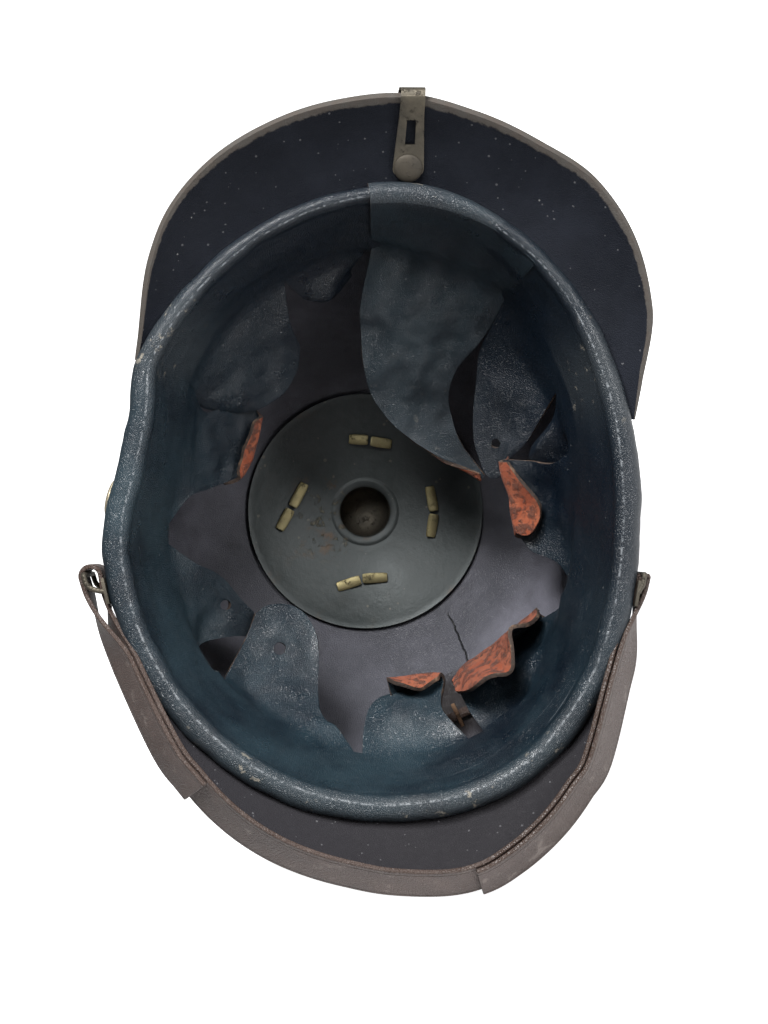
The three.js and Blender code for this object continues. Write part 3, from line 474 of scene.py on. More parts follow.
# Painted shade: the strap is darkened towards the wearer's right and at its far left end, where less light
# falls, and the dry patches are kept off those parts.
dry = w.math("MULTIPLY", dry, w.math("SUBTRACT", 1.0, painted(w, "painted_strap_shade")))
rubbed = use_group(w, "patches", "Mask", Place=place, Size=130.0, Low=0.56, High=0.68)
streak = w.add("ShaderNodeTexNoise", Scale=6.0, Detail=5.0, Roughness=0.65)
drawn_out = w.add(
    "ShaderNodeVectorMath", {"operation": "MULTIPLY"}, **{"0": uv, "1": (3.0, 60.0, 1.0)}
).outputs[0]
w.feed(streak, "Vector", drawn_out)
colour = w.mix(dry, STRAP_BROWN, STRAP_PALE)
colour = w.mix(w.math("MULTIPLY", w.ramp(streak.outputs["Fac"], 0.45, 0.7), 0.35), colour, STRAP_DARK)
colour = w.mix(w.math("MULTIPLY", rubbed, 0.35), colour, (0.36, 0.31, 0.28))
colour = w.mix(w.math("MULTIPLY", edge, 0.7), colour, STRAP_DARK)
colour = w.mix(w.math("MULTIPLY", line, 0.45), colour, STRAP_DARK)
# Painted shade darkens the strap's colour there.
colour = w.mix(w.math("MULTIPLY", painted(w, "painted_strap_shade"), 0.4), colour, STRAP_DARK)
w.feed(shader, "Base Color", colour)
w.feed(shader, "Roughness", w.math("ADD", w.math("MULTIPLY", dry, 0.2), 0.45))
grain = use_group(w, "leather_grain", "Height", Place=place, Cells=950.0, Swell=0.8)
bumped(w, shader, w.math("SUBTRACT", grain, w.math("MULTIPLY", line, 0.9)), 0.0005)

# %% [markdown]
# ** Metals.** The disc is dark lacquered sheet with a greenish bloom, scraped and rusty round its
# centre. The spike, its base and the spine are brass that has dulled to brown-grey. The split pins
# are thinner, yellower brass.

# %% Aged metals
def aged_metal(name, clean, dull, spots, roughness, metallic, bloom=0.7):
    """Metal under an uneven dull layer with small darker spots."""
    made, w, shader, place, uv = material(name)
    low, high = 0.5 - 0.25 * bloom, 0.78 - 0.2 * bloom
    layer = use_group(w, "patches", "Mask", Place=place, Size=38.0, Low=low, High=high)
    spot = use_group(w, "patches", "Mask", Place=place, Size=330.0, Low=0.56, High=0.66)
    scratch = w.add("ShaderNodeTexNoise", Scale=420.0, Detail=6.0, Roughness=0.75)
    w.feed(scratch, "Vector", w.add("ShaderNodeMapping", Vector=place, Scale=(1.0, 0.12, 0.35)).outputs[0])
    colour = w.mix(layer, clean, dull)
    colour = w.mix(w.math("MULTIPLY", spot, 0.7), colour, spots)
    w.feed(shader, "Base Color", colour)
    shader.inputs["Metallic"].default_value = metallic
    fine = w.math("MULTIPLY", scratch.outputs["Fac"], 0.2)
    dulled = w.math("ADD", fine, w.math("MULTIPLY", layer, 0.12))
    w.feed(shader, "Roughness", w.math("ADD", dulled, roughness))
    bumped(w, shader, w.math("ADD", scratch.outputs["Fac"], w.math("MULTIPLY", spot, 0.6)), 0.0002)
    return made


aged_brass = aged_metal(
    "aged_brass", (0.15, 0.130, 0.098), (0.080, 0.073, 0.060), (0.035, 0.030, 0.026), 0.40, 0.85
)
pin_brass = aged_metal("pin_brass", (0.46, 0.39, 0.20), (0.27, 0.235, 0.13), (0.08, 0.07, 0.045), 0.36, 0.85)
dull_brass = aged_metal(
    "dull_brass", (0.085, 0.072, 0.055), (0.050, 0.045, 0.037), (0.025, 0.021, 0.018), 0.5, 0.6
)
rusty_iron = aged_metal("rusty_iron", (0.30, 0.19, 0.11), (0.15, 0.085, 0.05), (0.05, 0.03, 0.02), 0.6, 0.35)
button_brass = aged_metal(
    "button_brass", (0.66, 0.58, 0.42), (0.44, 0.38, 0.27), (0.20, 0.17, 0.12), 0.36, 0.8, 0.3
)

# %% Disc lacquer
DISC_GREEN = (0.046, 0.055, 0.055)
DISC_BLOOM = (0.080, 0.090, 0.090)
DISC_SCRAPED = (0.22, 0.18, 0.11)

disc_lacquer, w, shader, place, uv = material("disc_lacquer")
bloom = use_group(w, "patches", "Mask", Place=place, Size=26.0, Low=0.36, High=0.66)
scrape = use_group(w, "patches", "Mask", Place=place, Size=240.0, Low=0.56, High=0.62)
scrape = w.math("MULTIPLY", scrape, w.ramp(painted(w, "wear"), 0.25, 1.0))
rust = use_group(w, "patches", "Mask", Place=place, Size=90.0, Low=0.54, High=0.68)
rust = w.math("MULTIPLY", rust, w.ramp(painted(w, "wear"), 0.05, 0.7))
specks = use_group(w, "specks", "Mask", Place=place, Cells=500.0, Amount=0.05, Width=0.3)
colour = w.mix(bloom, DISC_GREEN, DISC_BLOOM)
colour = w.mix(w.math("MULTIPLY", rust, 0.8), colour, (0.11, 0.065, 0.035))
colour = w.mix(w.math("MULTIPLY", scrape, 0.45), colour, DISC_SCRAPED)
colour = w.mix(w.math("MULTIPLY", specks, 0.4), colour, (0.22, 0.20, 0.16))
w.feed(shader, "Base Color", colour)
shader.inputs["Metallic"].default_value = 0.35
w.feed(shader, "Roughness", w.math("ADD", w.math("MULTIPLY", bloom, 0.15), 0.42))
ripple = w.add("ShaderNodeTexNoise", Vector=place, Scale=180.0, Detail=6.0, Roughness=0.7)
bumped(w, shader, w.math("ADD", ripple.outputs["Fac"], w.math("MULTIPLY", scrape, 0.5)), 0.0003)

print("metal finishes made")

# %% [markdown]
# ## Making a sheet
# Most of the helmet is leather or metal sheet, so one helper makes them all. It starts from a flat
# grid, keeps each corner's share across and along as its map, and moves the corner to its place on the
# helmet. A Solidify modifier then gives the thickness and a Bevel rounds the cut edges.

# %% Sheets
def finish_mesh(name, mesh, finishes, replaced=()):
    """Turns a bmesh in worn millimetres into a smooth piece of the helmet."""
    bmesh.ops.transform(mesh, matrix=lay_down, verts=mesh.verts)
    data = bpy.data.meshes.new(name)
    mesh.to_mesh(data)
    mesh.free()
    data.shade_smooth()
    piece = bpy.data.objects.new(name, data)
    scene.collection.objects.link(piece)
    for finish in finishes:
        data.materials.append(finish)
    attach(piece, "root")
    if replaced:
        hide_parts(*replaced)
    return piece


def grid(mesh, columns, rows, place):
    """Adds a grid to a bmesh and puts each corner at place(share across, share along)."""
    made = bmesh.ops.create_grid(mesh, x_segments=columns, y_segments=rows, size=0.5)["verts"]
    layer = mesh.loops.layers.uv.verify()
    shares = {}
    for vert in made:
        shares[vert] = (vert.co.x + 0.5, vert.co.y + 0.5)
        vert.co = place(*shares[vert])
    for vert in made:
        for loop in vert.link_loops:
            loop[layer].uv = shares[vert]
    return made


def thicken(piece, thickness, offset=-1.0, back=0, edge=0):
    """Gives a sheet its wall: the back and the cut edge may have finishes of their own."""
    wall = piece.modifiers.new("wall", "SOLIDIFY")
    wall.thickness = thickness / 1000
    wall.offset = offset
    wall.use_even_offset = False
    wall.material_offset = back
    wall.material_offset_rim = edge
    return wall


def round_edges(piece, width, segments=2, angle=50):
    """Takes the sharpness off a piece's edges."""
    bevel = piece.modifiers.new("rounding", "BEVEL")
    bevel.width = width / 1000
    bevel.segments = segments
    bevel.limit_method = "ANGLE"
    bevel.angle_limit = radians(angle)
    bevel.use_clamp_overlap = True
    return bevel


def paint(piece, name, value):
    """Stores value(place in worn millimetres) on each corner of a finished piece."""
    back = lay_down.inverted()
    layer = piece.data.attributes.new(name, "FLOAT", "POINT")
    for corner, vert in zip(layer.data, piece.data.vertices):
        corner.value = value(back @ vert.co)


def smooth(value, low, high):
    """0 below low, 1 above high, and a soft climb between."""
    share = min(max((value - low) / (high - low), 0.0), 1.0)
    return share * share * (3 - 2 * share)


def mix(first, second, share):
    """A value part of the way from the first to the second."""
    return first + (second - first) * share


def through(points, share):
    """A smooth curve through points: share 0 is the first point, share 1 the last."""
    spot = share * (len(points) - 1)
    index = min(int(spot), len(points) - 2)
    part = spot - index
    before, here = points[max(index - 1, 0)], points[index]
    there, after = points[index + 1], points[min(index + 2, len(points) - 1)]
    return 0.5 * (
        2 * here
        + (there - before) * part
        + (2 * before - 5 * here + 4 * there - after) * part**2
        + (3 * here - before - 3 * there + after) * part**3
    )

# %% [markdown]
# ## The skull
# The skull is an oval at its edge and turns round as it rises to the crown. One function gives any
# place on its outer skin, so everything that touches the skull can be placed from the same rule.

# %% Skull shape
HALF_WIDTH = 91.5
HALF_LENGTH = 107.5
HEIGHT = 142
WALL = 2.8
CROWN_RADIUS = 99
ROUND_ABOVE = 0.6
ROUNDNESS = 2.35
REAR_EXPONENT = 1.95
FRONT_EXPONENT = 2.15
BOW = 7
DENT = 5.6
TOP_RISE = 0.953


def oval(turn, half_x, half_y, exponent):
    """A place on a squarish oval."""
    across, along = cos(turn), sin(turn)
    x = half_x * abs(across) ** (2 / exponent)
    y = half_y * abs(along) ** (2 / exponent)
    return Vector((x if across > 0 else -x, y if along > 0 else -y, 0))


def pressed_in(turn):
    """How far the skull is pressed in behind the button on the wearer's left."""
    degrees = (turn * 180 / pi + 180) % 360 - 180
    return DENT * smooth(degrees, -10, 10) * (1 - smooth(degrees, 15, 29))


def hull(turn, rise, offset=0.0):
    """A place on the skull: turn in radians from the wearer's left, rise from 0 at the edge to 1 on top."""
    ovalness = smooth(1 - rise / ROUND_ABOVE, 0, 1)
    level = rise * pi / 2
    shrink = cos(level) ** (2 / ROUNDNESS)
    half_x = (mix(CROWN_RADIUS, HALF_WIDTH, ovalness) + offset) * shrink
    half_y = (mix(CROWN_RADIUS, HALF_LENGTH, ovalness) + offset) * shrink
    exponent = mix(2, REAR_EXPONENT if sin(turn) > 0 else FRONT_EXPONENT, ovalness)
    place = oval(turn, half_x, half_y, exponent)
    place.x -= BOW * ovalness * (place.y / half_y) ** 2 + pressed_in(turn) * ovalness
    place.z = (HEIGHT + offset) * sin(level) ** (2 / ROUNDNESS)
    return place


def crown_height(radius, offset=0.0):
    """Height of the round crown's skin at a radius."""
    share = (radius / (CROWN_RADIUS + offset)) ** ROUNDNESS
    return (HEIGHT + offset) * (1 - share) ** (1 / ROUNDNESS)


def seat(turn, rise):
    """The matrix of a piece that sits on the skull: X along the rim, Y up the skull, Z straight out."""
    step = 0.002
    along = (hull(turn + step, rise) - hull(turn - step, rise)).normalized()
    up = (hull(turn, rise + step) - hull(turn, max(rise - step, 0))).normalized()
    out = along.cross(up).normalized()
    up = out.cross(along)
    basis = Matrix((along, up, out)).transposed().to_4x4()
    return Matrix.Translation(hull(turn, rise)) @ basis


def inward(turn):
    """The level direction from the skull's edge towards the head."""
    out = seat(turn, 0).to_3x3().col[2]
    return -Vector((out.x, out.y, 0)).normalized()


def swell(place, size, depth):
    """A slow random in-and-out, the same on every run."""
    return depth * noise.noise(place / size)


shell = bmesh.new()
grid(shell, 300, 150, lambda u, v: hull(u * 2 * pi, TOP_RISE * v))
bmesh.ops.remove_doubles(shell, verts=shell.verts, dist=0.01)
bmesh.ops.recalc_face_normals(shell, faces=shell.faces)
skull = finish_mesh("skull", shell, [skull_leather], ["crown_shell"])
# Painted shade on the skull's inside, in the gap between the two front fingers: its centre, spread and top.
SHADE_SPOT = (-35, -79)
SHADE_SPREAD = 120
SHADE_TOP = 105


def finger_gap_shade(place):
    """1 in the painted shade between the two front fingers, and 0 well away from it."""
    if place.z >= SHADE_TOP:
        return 0.0
    apart = (place.x - SHADE_SPOT[0]) ** 2 + (place.y - SHADE_SPOT[1]) ** 2
    return min(1, 1.6 * exp(-apart / SHADE_SPREAD))


paint(skull, "finger_gap_shade", finger_gap_shade)
thicken(skull, WALL)
round_edges(skull, 0.8)
print("skull faces", len(skull.data.polygons))

# %% [markdown]
# ## The visors
# A visor is a flat crescent of thick leather that droops to its rim. Each cross-section is one bent
# line from the skull to the rim, so a grid of those lines, thickened, is the visor. The rear spine
# lies along the same lines, so the line has a function of its own.

# %% Visors
FRONT = {"half_width": 86, "half_length": 125.5, "exponent": 2.45, "bow": 12, "drop": 12, "hollow": 0.2,
         "swing": 0, "outline": (-25, -155), "skull": (-31, -149), "wander_from": -155,
         "wander": (0, 0, -1.5, -4.5, -4.2, -0.8, -1.2, -3, -3, -2.5, -2, -0.5, 0)}
REAR = {"half_width": 92, "half_length": 134.5, "exponent": 2.4, "bow": 6, "drop": 21, "hollow": 0.3,
        "swing": -5, "outline": (17, 171.5), "skull": (27.5, 163.7), "wander_from": 35,
        "wander": (0, 1.2, 3.9, 2.6, 0, -1.2, -1.2, -4.5, -4.4, 1, 4, 3.2, 0)}
VISOR_THICKNESS = 2.4
ROOT_GAP = -1.2
ROOT_HEIGHT = 1.2
WANDER_STEP = 10
CHIP = Vector((-12.3, -104.5, -4))


def wandered(visor, place):
    """A level place on a visor's oval, moved out or in to where the worn edge is."""
    steps = len(visor["wander"]) - 1
    turn = atan2(place.y, place.x) * 180 / pi
    share = min(max((turn - visor["wander_from"]) / WANDER_STEP / steps, 0.0), 1.0)
    return place + place.normalized() * through(visor["wander"], share)


def visor_middle(visor, share, reach):
    """The middle of a visor's leather: share runs round it, reach from the skull to its rim."""
    root = hull(radians(mix(*visor["skull"], share)), 0, ROOT_GAP)
    root.z = ROOT_HEIGHT
    turn = radians(mix(*visor["outline"], share))
    edge = oval(turn, visor["half_width"], visor["half_length"], visor["exponent"])
    edge.x += visor["swing"] - visor["bow"] * (edge.y / visor["half_length"]) ** 2
    edge = wandered(visor, edge)
    edge.z = -visor["drop"] * max(sin(pi * share), 0) ** 0.8
    edge = edge.lerp(root, 1 - smooth(min(share, 1 - share), -0.06, 0.1))
    middle = root.lerp(edge, 0.5)
    middle.z += visor["hollow"] * abs(root.z - edge.z)
    return root * (1 - reach) ** 2 + middle * 2 * reach * (1 - reach) + edge * reach**2


def visor_place(visor, share, reach, offset=0.0):
    """A place on a visor, moved up from the middle of its leather."""
    step = 0.01
    along = visor_middle(visor, share, reach + step) - visor_middle(visor, share, reach - step)
    flat = Vector((along.x, along.y, 0))
    up = Vector((0, 0, flat.length)) - flat.normalized() * along.z
    return visor_middle(visor, share, reach) + up.normalized() * offset


def visor_piece(name, visor, node):
    """One visor, with a slightly uneven surface."""
    leather = bmesh.new()

    def place(u, v):
        spot = visor_place(visor, u, v)
        return spot + Vector((0, 0, swell(spot, 16, 0.35)))

    grid(leather, 160, 28, place)
    bmesh.ops.recalc_face_normals(leather, faces=leather.faces)
    piece = finish_mesh(name, leather, [visor_leather], [node])
    # Painted light, full on the front visor and none on the rear one.
    paint(piece, "painted_light_front", lambda spot: smooth(-spot.y, 20, 90))
    paint(piece, "chip", lambda spot: 1 - smooth((spot - CHIP).length, 0.5, 1.1))
    thicken(piece, VISOR_THICKNESS, offset=0.0)
    round_edges(piece, 1.0, 4)
    return piece


visor_piece("front_peak", FRONT, "front_visor")
visor_piece("rear_peak", REAR, "rear_visor")
print("two visors made")

# %% [markdown]
# ## The liner
# The sweat leather is sewn to the skull's edge, rolled over it into a lip, and stands up inside as a
# leaning band. Above the band it is cut into fingers. The roll and the band are one grid that runs
# round the head, and each finger is a grid of its own that starts from the band's top row of corners,
# so merging the doubled corners makes it all one leather.

# %% Roll and band
LIP_WIDTH = 8.8
LIP_REAR_SHARE = 0.62
BAND_HEIGHT = 38
BAND_LEAN = 14
LINER_LEATHER = 1.5
ROUND_COLUMNS = 480
ROLL_ROWS = 26
BAND_ROWS = 22


def lip_width(turn):
    """The roll is thinner across the back."""
    return LIP_WIDTH * mix(1, LIP_REAR_SHARE, smooth(sin(turn), 0.1, 1))


def ruffled(place, turn):
    """The band is not stiff: it wanders in and out."""
    return inward(turn) * (swell(place, 26, 1.3) + swell(place, 9, 0.35))


def roll_place(turn, share):
    """Share 0 is under the skull's edge outside, share 1 is on the head side."""
    wide = lip_width(turn)
    angle = radians(mix(160, 372, share))
    away = wide * (0.5 + 0.52 * cos(angle))
    spot = hull(turn, 0) + inward(turn) * away
    spot.z = -1.2 + 4.6 * sin(angle)
    dent = swell(spot, 11, 0.45) + swell(spot, 4, 0.16)
    outward = Vector((0, 0, sin(angle))) + inward(turn) * cos(angle)
    return spot + outward * dent


def band_place(turn, height):
    """A place on the head side of the band."""
    lean = radians(BAND_LEAN)
    spot = hull(turn, 0) + inward(turn) * (lip_width(turn) * 1.009 + height * sin(lean))
    spot.z = height * cos(lean) - 0.24
    return spot + ruffled(spot, turn) * smooth(height, 2, 14)


def round_place(u, v):
    """The rolled lip and the band as one sheet: u runs round, v from the lip down the band."""
    turn = u * 2 * pi
    rolled = ROLL_ROWS / (ROLL_ROWS + BAND_ROWS)
    if v <= rolled:
        return roll_place(turn, v / rolled)
    return band_place(turn, BAND_HEIGHT * (v - rolled) / (1 - rolled))


# %% [markdown]
# **Even lines.** Several shapes here are drawn as a few places joined by a smooth curve. Places that are
# evenly spaced along such a curve give even faces, so one helper walks along it and marks equal steps.

# %% Smooth even lines
def even_line(points, count):
    """count + 1 places, evenly spaced along the smooth curve through points."""
    points = [Vector(point) for point in points]
    fine = len(points) * 24
    dense = [through(points, i / fine) for i in range(fine + 1)]
    lengths = [0.0]
    for here, there in zip(dense, dense[1:]):
        lengths.append(lengths[-1] + (there - here).length)
    even, index = [], 0
    for i in range(count + 1):
        goal = lengths[-1] * i / count
        while index < fine - 1 and lengths[index + 1] < goal:
            index += 1
        part = (goal - lengths[index]) / max(lengths[index + 1] - lengths[index], 1e-9)
        even.append(dense[index].lerp(dense[index + 1], min(max(part, 0), 1)))
    return even


# %% [markdown]
# **Fingers.** Each finger is drawn by its outline: where its root is on the band, its two sides, and its
# end from the low side to the high side. A grid is stretched between the four lines. Where the end has
# curled back towards the head, the columns go on round a small circle and show their suede.

# %% Finger table
FINGERS = [
    # turns: the root's ends in degrees; curl: how much leather is curled back, along the end, in mm
    {"turns": (-1.5, 27.0),
     "low_side": [(64.9, 3.1, 42), (59.4, 6.0, 50), (53.3, 8.8, 57)],
     "high_side": [(59.9, 34.4, 46), (52.1, 38.1, 55), (42.8, 36.8, 62)],
     "end": [(49.4, 12.3, 60), (46.9, 17.7, 62), (45.4, 23.7, 62), (43.9, 30.1, 62)],
     "curl": (0.3, 2.5, 4, 4, 3, 0.5)},
    {"turns": (27.0, 60.75),
     "low_side": [(63.6, 39.1, 42), (60.8, 36.0, 48), (54.2, 35.0, 54)],
     "high_side": [(28.9, 67.6, 47), (25.5, 60.3, 57)],
     "end": [(47.7, 34.9, 57), (41.5, 36.2, 59), (35.6, 39.4, 61), (30.1, 44.4, 62), (26.3, 52.2, 61)]},
    {"turns": (60.75, 83.25),
     "low_side": [(23.1, 75.9, 48), (20.9, 80.2, 52)],
     "high_side": [(6.2, 87.4, 46), (6.1, 85.1, 50)],
     "end": [(14.3, 76.6, 53)]},
    {"turns": (84.75, 126.0),
     "low_side": [(-0.4, 91.5, 42), (-1.2, 87.4, 46)],
     "high_side": [(-39.9, 75.4, 43), (-40.2, 68.6, 47)],
     "end": [(-20.7, 75.7, 46)]},
    {"turns": (127.5, 153.75),
     "low_side": [(-45.3, 66.2, 46), (-41.6, 58.4, 55), (-40.5, 45.9, 60), (-39.6, 34.8, 63),
                  (-40.5, 23.6, 65),
                  (-44.0, 13.4, 66)],
     "high_side": [(-65.9, 37.2, 46), (-59.6, 25.0, 56), (-52.7, 17.4, 62)],
     "end": [(-46.2, 11.2, 66), (-48.9, 11.2, 66), (-51.4, 13.7, 64)]},
    {"turns": (154.5, 167.25),
     "low_side": [(-67.3, 31.7, 46), (-61.0, 23.0, 55)],
     "high_side": [(-75.0, 24.1, 43), (-73.9, 18.9, 48), (-70.2, 15.5, 54)],
     "end": [(-60.4, 18.3, 57), (-64.9, 14.9, 57)]},
    {"turns": (168.0, 198.0),
     "low_side": [(-66.6, 15.5, 46), (-60.2, 17.1, 55), (-52.5, 17.7, 60)],
     "high_side": [(-73.7, -29.2, 42), (-72.1, -24.2, 47), (-69.3, -20.5, 51), (-65.0, -18.3, 55),
                   (-60.9, -16.4, 58), (-57.3, -11.6, 60)],
     "end": [(-53.7, 12.1, 61), (-55.7, 5.4, 62), (-56.1, -1.8, 62)],
     "curl": (3, 11, 14, 13, 9, 1)},
    {"turns": (202.5, 242.25),
     "low_side": [(-71.8, -35.5, 45), (-69.3, -38.6, 52), (-66.0, -41.0, 57)],
     "high_side": [(-36.8, -75.0, 43), (-34.8, -71.0, 49), (-33.4, -67.6, 55)],
     "end": [(-62.9, -43.8, 59), (-59.2, -46.4, 60), (-54.8, -50.2, 61), (-49.9, -54.7, 61),
             (-44.2, -58.1, 61),
             (-38.4, -61.9, 59)],
     "curl": (2, 10, 20, 30, 38, 42, 34, 12)},
    {"turns": (247.5, 276.0),
     "low_side": [(-27.4, -75.1, 44), (-26.8, -70.0, 52), (-28.0, -65.8, 58)],
     "high_side": [(2.1, -83.2, 43), (0.9, -77.2, 49), (-0.6, -73.9, 53), (-4.0, -71.0, 57),
                   (-8.2, -69.8, 59)],
     "end": [(-23.4, -65.8, 61), (-17.8, -66.8, 61), (-12.6, -68.4, 60)],
     "curl": (3, 11, 14, 12, 6, 0.5)},
    {"turns": (278.25, 317.25),
     "low_side": [(8.7, -84.1, 41), (12.3, -79.7, 44), (15.2, -78.4, 46), (17.8, -74.7, 49),
                  (18.6, -67.1, 54),
                  (18.3, -57.1, 59), (18.7, -49.8, 62)],
     "high_side": [(52.2, -62.6, 44), (48.7, -55.8, 51), (45.4, -48.7, 57), (41.9, -39.6, 62)],
     "end": [(20.6, -44.2, 64), (24.4, -39.4, 65), (29.3, -36.8, 66), (34.2, -36.4, 66), (38.3, -37.1, 65)]},
    {"turns": (320.25, 354.0),
     "low_side": [(60.7, -64.5, 41), (63.3, -58.0, 46), (62.0, -51.0, 52), (54.2, -48.7, 57),
                  (45.4, -48.3, 64)],
     "high_side": [(63.1, -20.8, 43), (58.1, -23.4, 49), (53.0, -27.2, 55), (47.8, -34.0, 61),
                   (42.9, -39.4, 66)],
     "end": [(43.3, -44.0, 67)]},
]
PUNCH_REACH = 9
PUNCHED = [
    ((52.9, -36.5, 58), 1.9), ((32.9, -52.7, 61), 2.3),
    ((-48.1, 24.0, 65), 1.8), ((-43.5, -57.5, 61), 1.4),
]
FINGER_ROWS = 34
CURL_ROWS = 16
CURL_RADIUS = 1.5
CURL_TURN = 4.1
CURL_MOST = 165

# %% Fingers
def finger_lines(finger):
    """The four lines round a finger, and how many columns it has."""
    low, high = finger["turns"]
    columns = round((high - low) * ROUND_COLUMNS / 360)
    root = [band_place(radians(mix(low, high, i / columns)), BAND_HEIGHT) for i in range(columns + 1)]
    low_line = even_line([root[0]] + finger["low_side"], FINGER_ROWS)
    high_line = even_line([root[-1]] + finger["high_side"], FINGER_ROWS)
    end = even_line([low_line[-1]] + finger["end"] + [high_line[-1]], columns)
    return columns, root, low_line, high_line, end


def stretched(lines, u, v):
    """A place between the four lines."""
    columns, root, low_line, high_line, end = lines
    across, along = round(u * columns), round(v * FINGER_ROWS)
    bottom, top = root[across], end[across]
    near, far = low_line[along], high_line[along]
    corners = (root[0] * (1 - u) + root[-1] * u) * (1 - v) + (end[0] * (1 - u) + end[-1] * u) * v
    spot = bottom * (1 - v) + top * v + near * (1 - u) + far * u - corners
    down = min(smooth(v, 0, 0.3), smooth(1 - v, -0.1, 0.25))
    inside = down * min(smooth(u, -0.1, 0.3), smooth(1 - u, -0.1, 0.3))
    sag = swell(spot, 17, 3.2) + swell(spot, 7, 0.9)
    return spot + Vector((-spot.x, -spot.y, -40)).normalized() * sag * inside


def curled(lines, curl, u, v):
    """A place on the curled end: the column goes on round a small circle, back towards the head."""
    rows = FINGER_ROWS
    start = stretched(lines, u, 1)
    along = (start - stretched(lines, u, 1 - 3 / rows)).normalized()
    step = 1 / lines[0]
    side = stretched(lines, min(u + step, 1), 1) - stretched(lines, max(u - step, 0), 1)
    towards_head = along.cross(side.normalized()).normalized()
    if towards_head.z > 0:
        towards_head.negate()
    shown = through(curl, u)
    uneven = noise.noise(Vector((start.x * 0.16, start.y * 0.16, 0)))
    length = (shown + CURL_TURN * smooth(shown, 0, 3)) * (1 + 0.09 * uneven)
    done = v * max(length, 0.2)
    angle = min(done / CURL_RADIUS, radians(CURL_MOST))
    past = done - angle * CURL_RADIUS
    bent = along * sin(angle) + towards_head * (1 - cos(angle))
    ahead = along * cos(angle) + towards_head * sin(angle)
    droop = Vector((0, 0, 0.004)) * past**2
    return start + bent * CURL_RADIUS + ahead * max(past, 0) + droop


def punch(mesh, centre, radius):
    """Takes a round hole out of a sheet and rounds its edge."""
    centre = Vector(centre)

    def off(place):
        return sqrt((place.x - centre.x) ** 2 + (place.y - centre.y) ** 2)

    def punched_out(face):
        middle = face.calc_center_median()
        return off(middle) < radius and abs(middle.z - centre.z) < PUNCH_REACH

    gone = [face for face in mesh.faces if punched_out(face)]
    rim = {vert for face in gone for vert in face.verts}
    bmesh.ops.delete(mesh, geom=gone, context="FACES")
    for vert in rim:
        if vert.is_valid and off(vert.co) > 0.01:
            out = Vector((vert.co.x - centre.x, vert.co.y - centre.y, 0))
            vert.co += out.normalized() * (radius - out.length)
    return len(gone)


def liner_wear(place):
    """Where the liner stands proud and has been rubbed."""
    on_lip = smooth(-place.z, 1.5, 5.5)
    front = smooth(-place.y, 40, 100)
    rear_left = exp(-((place.x - 68) ** 2 + (place.y - 55) ** 2) / 260) if place.z < 30 else 0
    rear_right = exp(-((place.x + 76) ** 2 + (place.y - 44) ** 2) / 200) if place.z < 25 else 0
    tips = 0.35 * smooth(place.z, 50, 70)
    return min(on_lip * (0.35 + 0.75 * front) + rear_left + rear_right + tips, 1.0)


leather = bmesh.new()
grid(leather, ROUND_COLUMNS, ROLL_ROWS + BAND_ROWS, round_place)
for finger in FINGERS:
    lines = finger_lines(finger)
    grid(leather, lines[0], FINGER_ROWS, lambda u, v: stretched(lines, u, v))
    if "curl" in finger:
        grid(leather, lines[0], CURL_ROWS, lambda u, v: curled(lines, finger["curl"], u, v))
bmesh.ops.remove_doubles(leather, verts=leather.verts, dist=0.02)
holes = [punch(leather, centre, radius) for centre, radius in PUNCHED]
bend = [vert for vert in leather.verts if 31 < vert.co.z < 46 and not vert.is_boundary]
for _ in range(14):
    bmesh.ops.smooth_vert(leather, verts=bend, factor=0.5, use_axis_x=True, use_axis_y=True, use_axis_z=True)
bmesh.ops.recalc_face_normals(leather, faces=leather.faces)
sweat_leather = finish_mesh(
    "sweat_leather", leather, [liner_leather, suede, cut_edge], ["liner"]
)
paint(sweat_leather, "wear", liner_wear)
# Painted light and shade: high towards the front and the wearer's left, low and darker towards the back and
# right.
paint(sweat_leather, "painted_light_share", lambda place: 0.1 + 0.9 * smooth(0.6 * place.x - 0.8 * place.y, -55, 60))
# Where the painted highlight line along the lip may show.
paint(sweat_leather, "lip", lambda place: smooth(-place.z, -1, 0.5))
paint(
    sweat_leather, "scratched",
    lambda place: smooth(-0.5 * place.x - 0.86 * place.y, 55, 85) * smooth(34 - place.z, 0, 8),
)
thicken(sweat_leather, LINER_LEATHER, back=1, edge=2)
round_edges(sweat_leather, 0.35, 2)
print("liner faces", len(sweat_leather.data.polygons), "hole faces", holes)

# %% [markdown]
# ## The loose flap
# At the back the liner's cut end has come away. It still wraps over the lip, then hangs across the
# opening, wrinkled, with its pale cut edge to the wearer's left. Its grid follows a row of crossings
# from the lip to the tip, and a smooth curve joins the crossings.

# %% Flap
FLAP_TURNS = (84.7, 127.5)
FLAP_LEATHER = 1.3
ON_BAND = ((13, 0.0), (25, 0.35), (37, 0.75))
FLAP_CROSSINGS = [
    # left and right ends of each crossing
    ((3.0, 74, 45), (-45.8, 67.2, 46)),
    ((2.8, 65, 52), (-41.0, 60.8, 52)),
    ((1.6, 52.4, 59), (-33.7, 52.1, 59)),
    ((-2.3, 40.7, 66), (-30.7, 43.8, 66)),
    ((-12.3, 29.7, 71), (-31.8, 35.4, 71)),
    ((-27.8, 19.5, 74), (-36.2, 24.2, 74)),
    ((-43.3, 13.5, 76), (-44.8, 12.8, 76)),
]


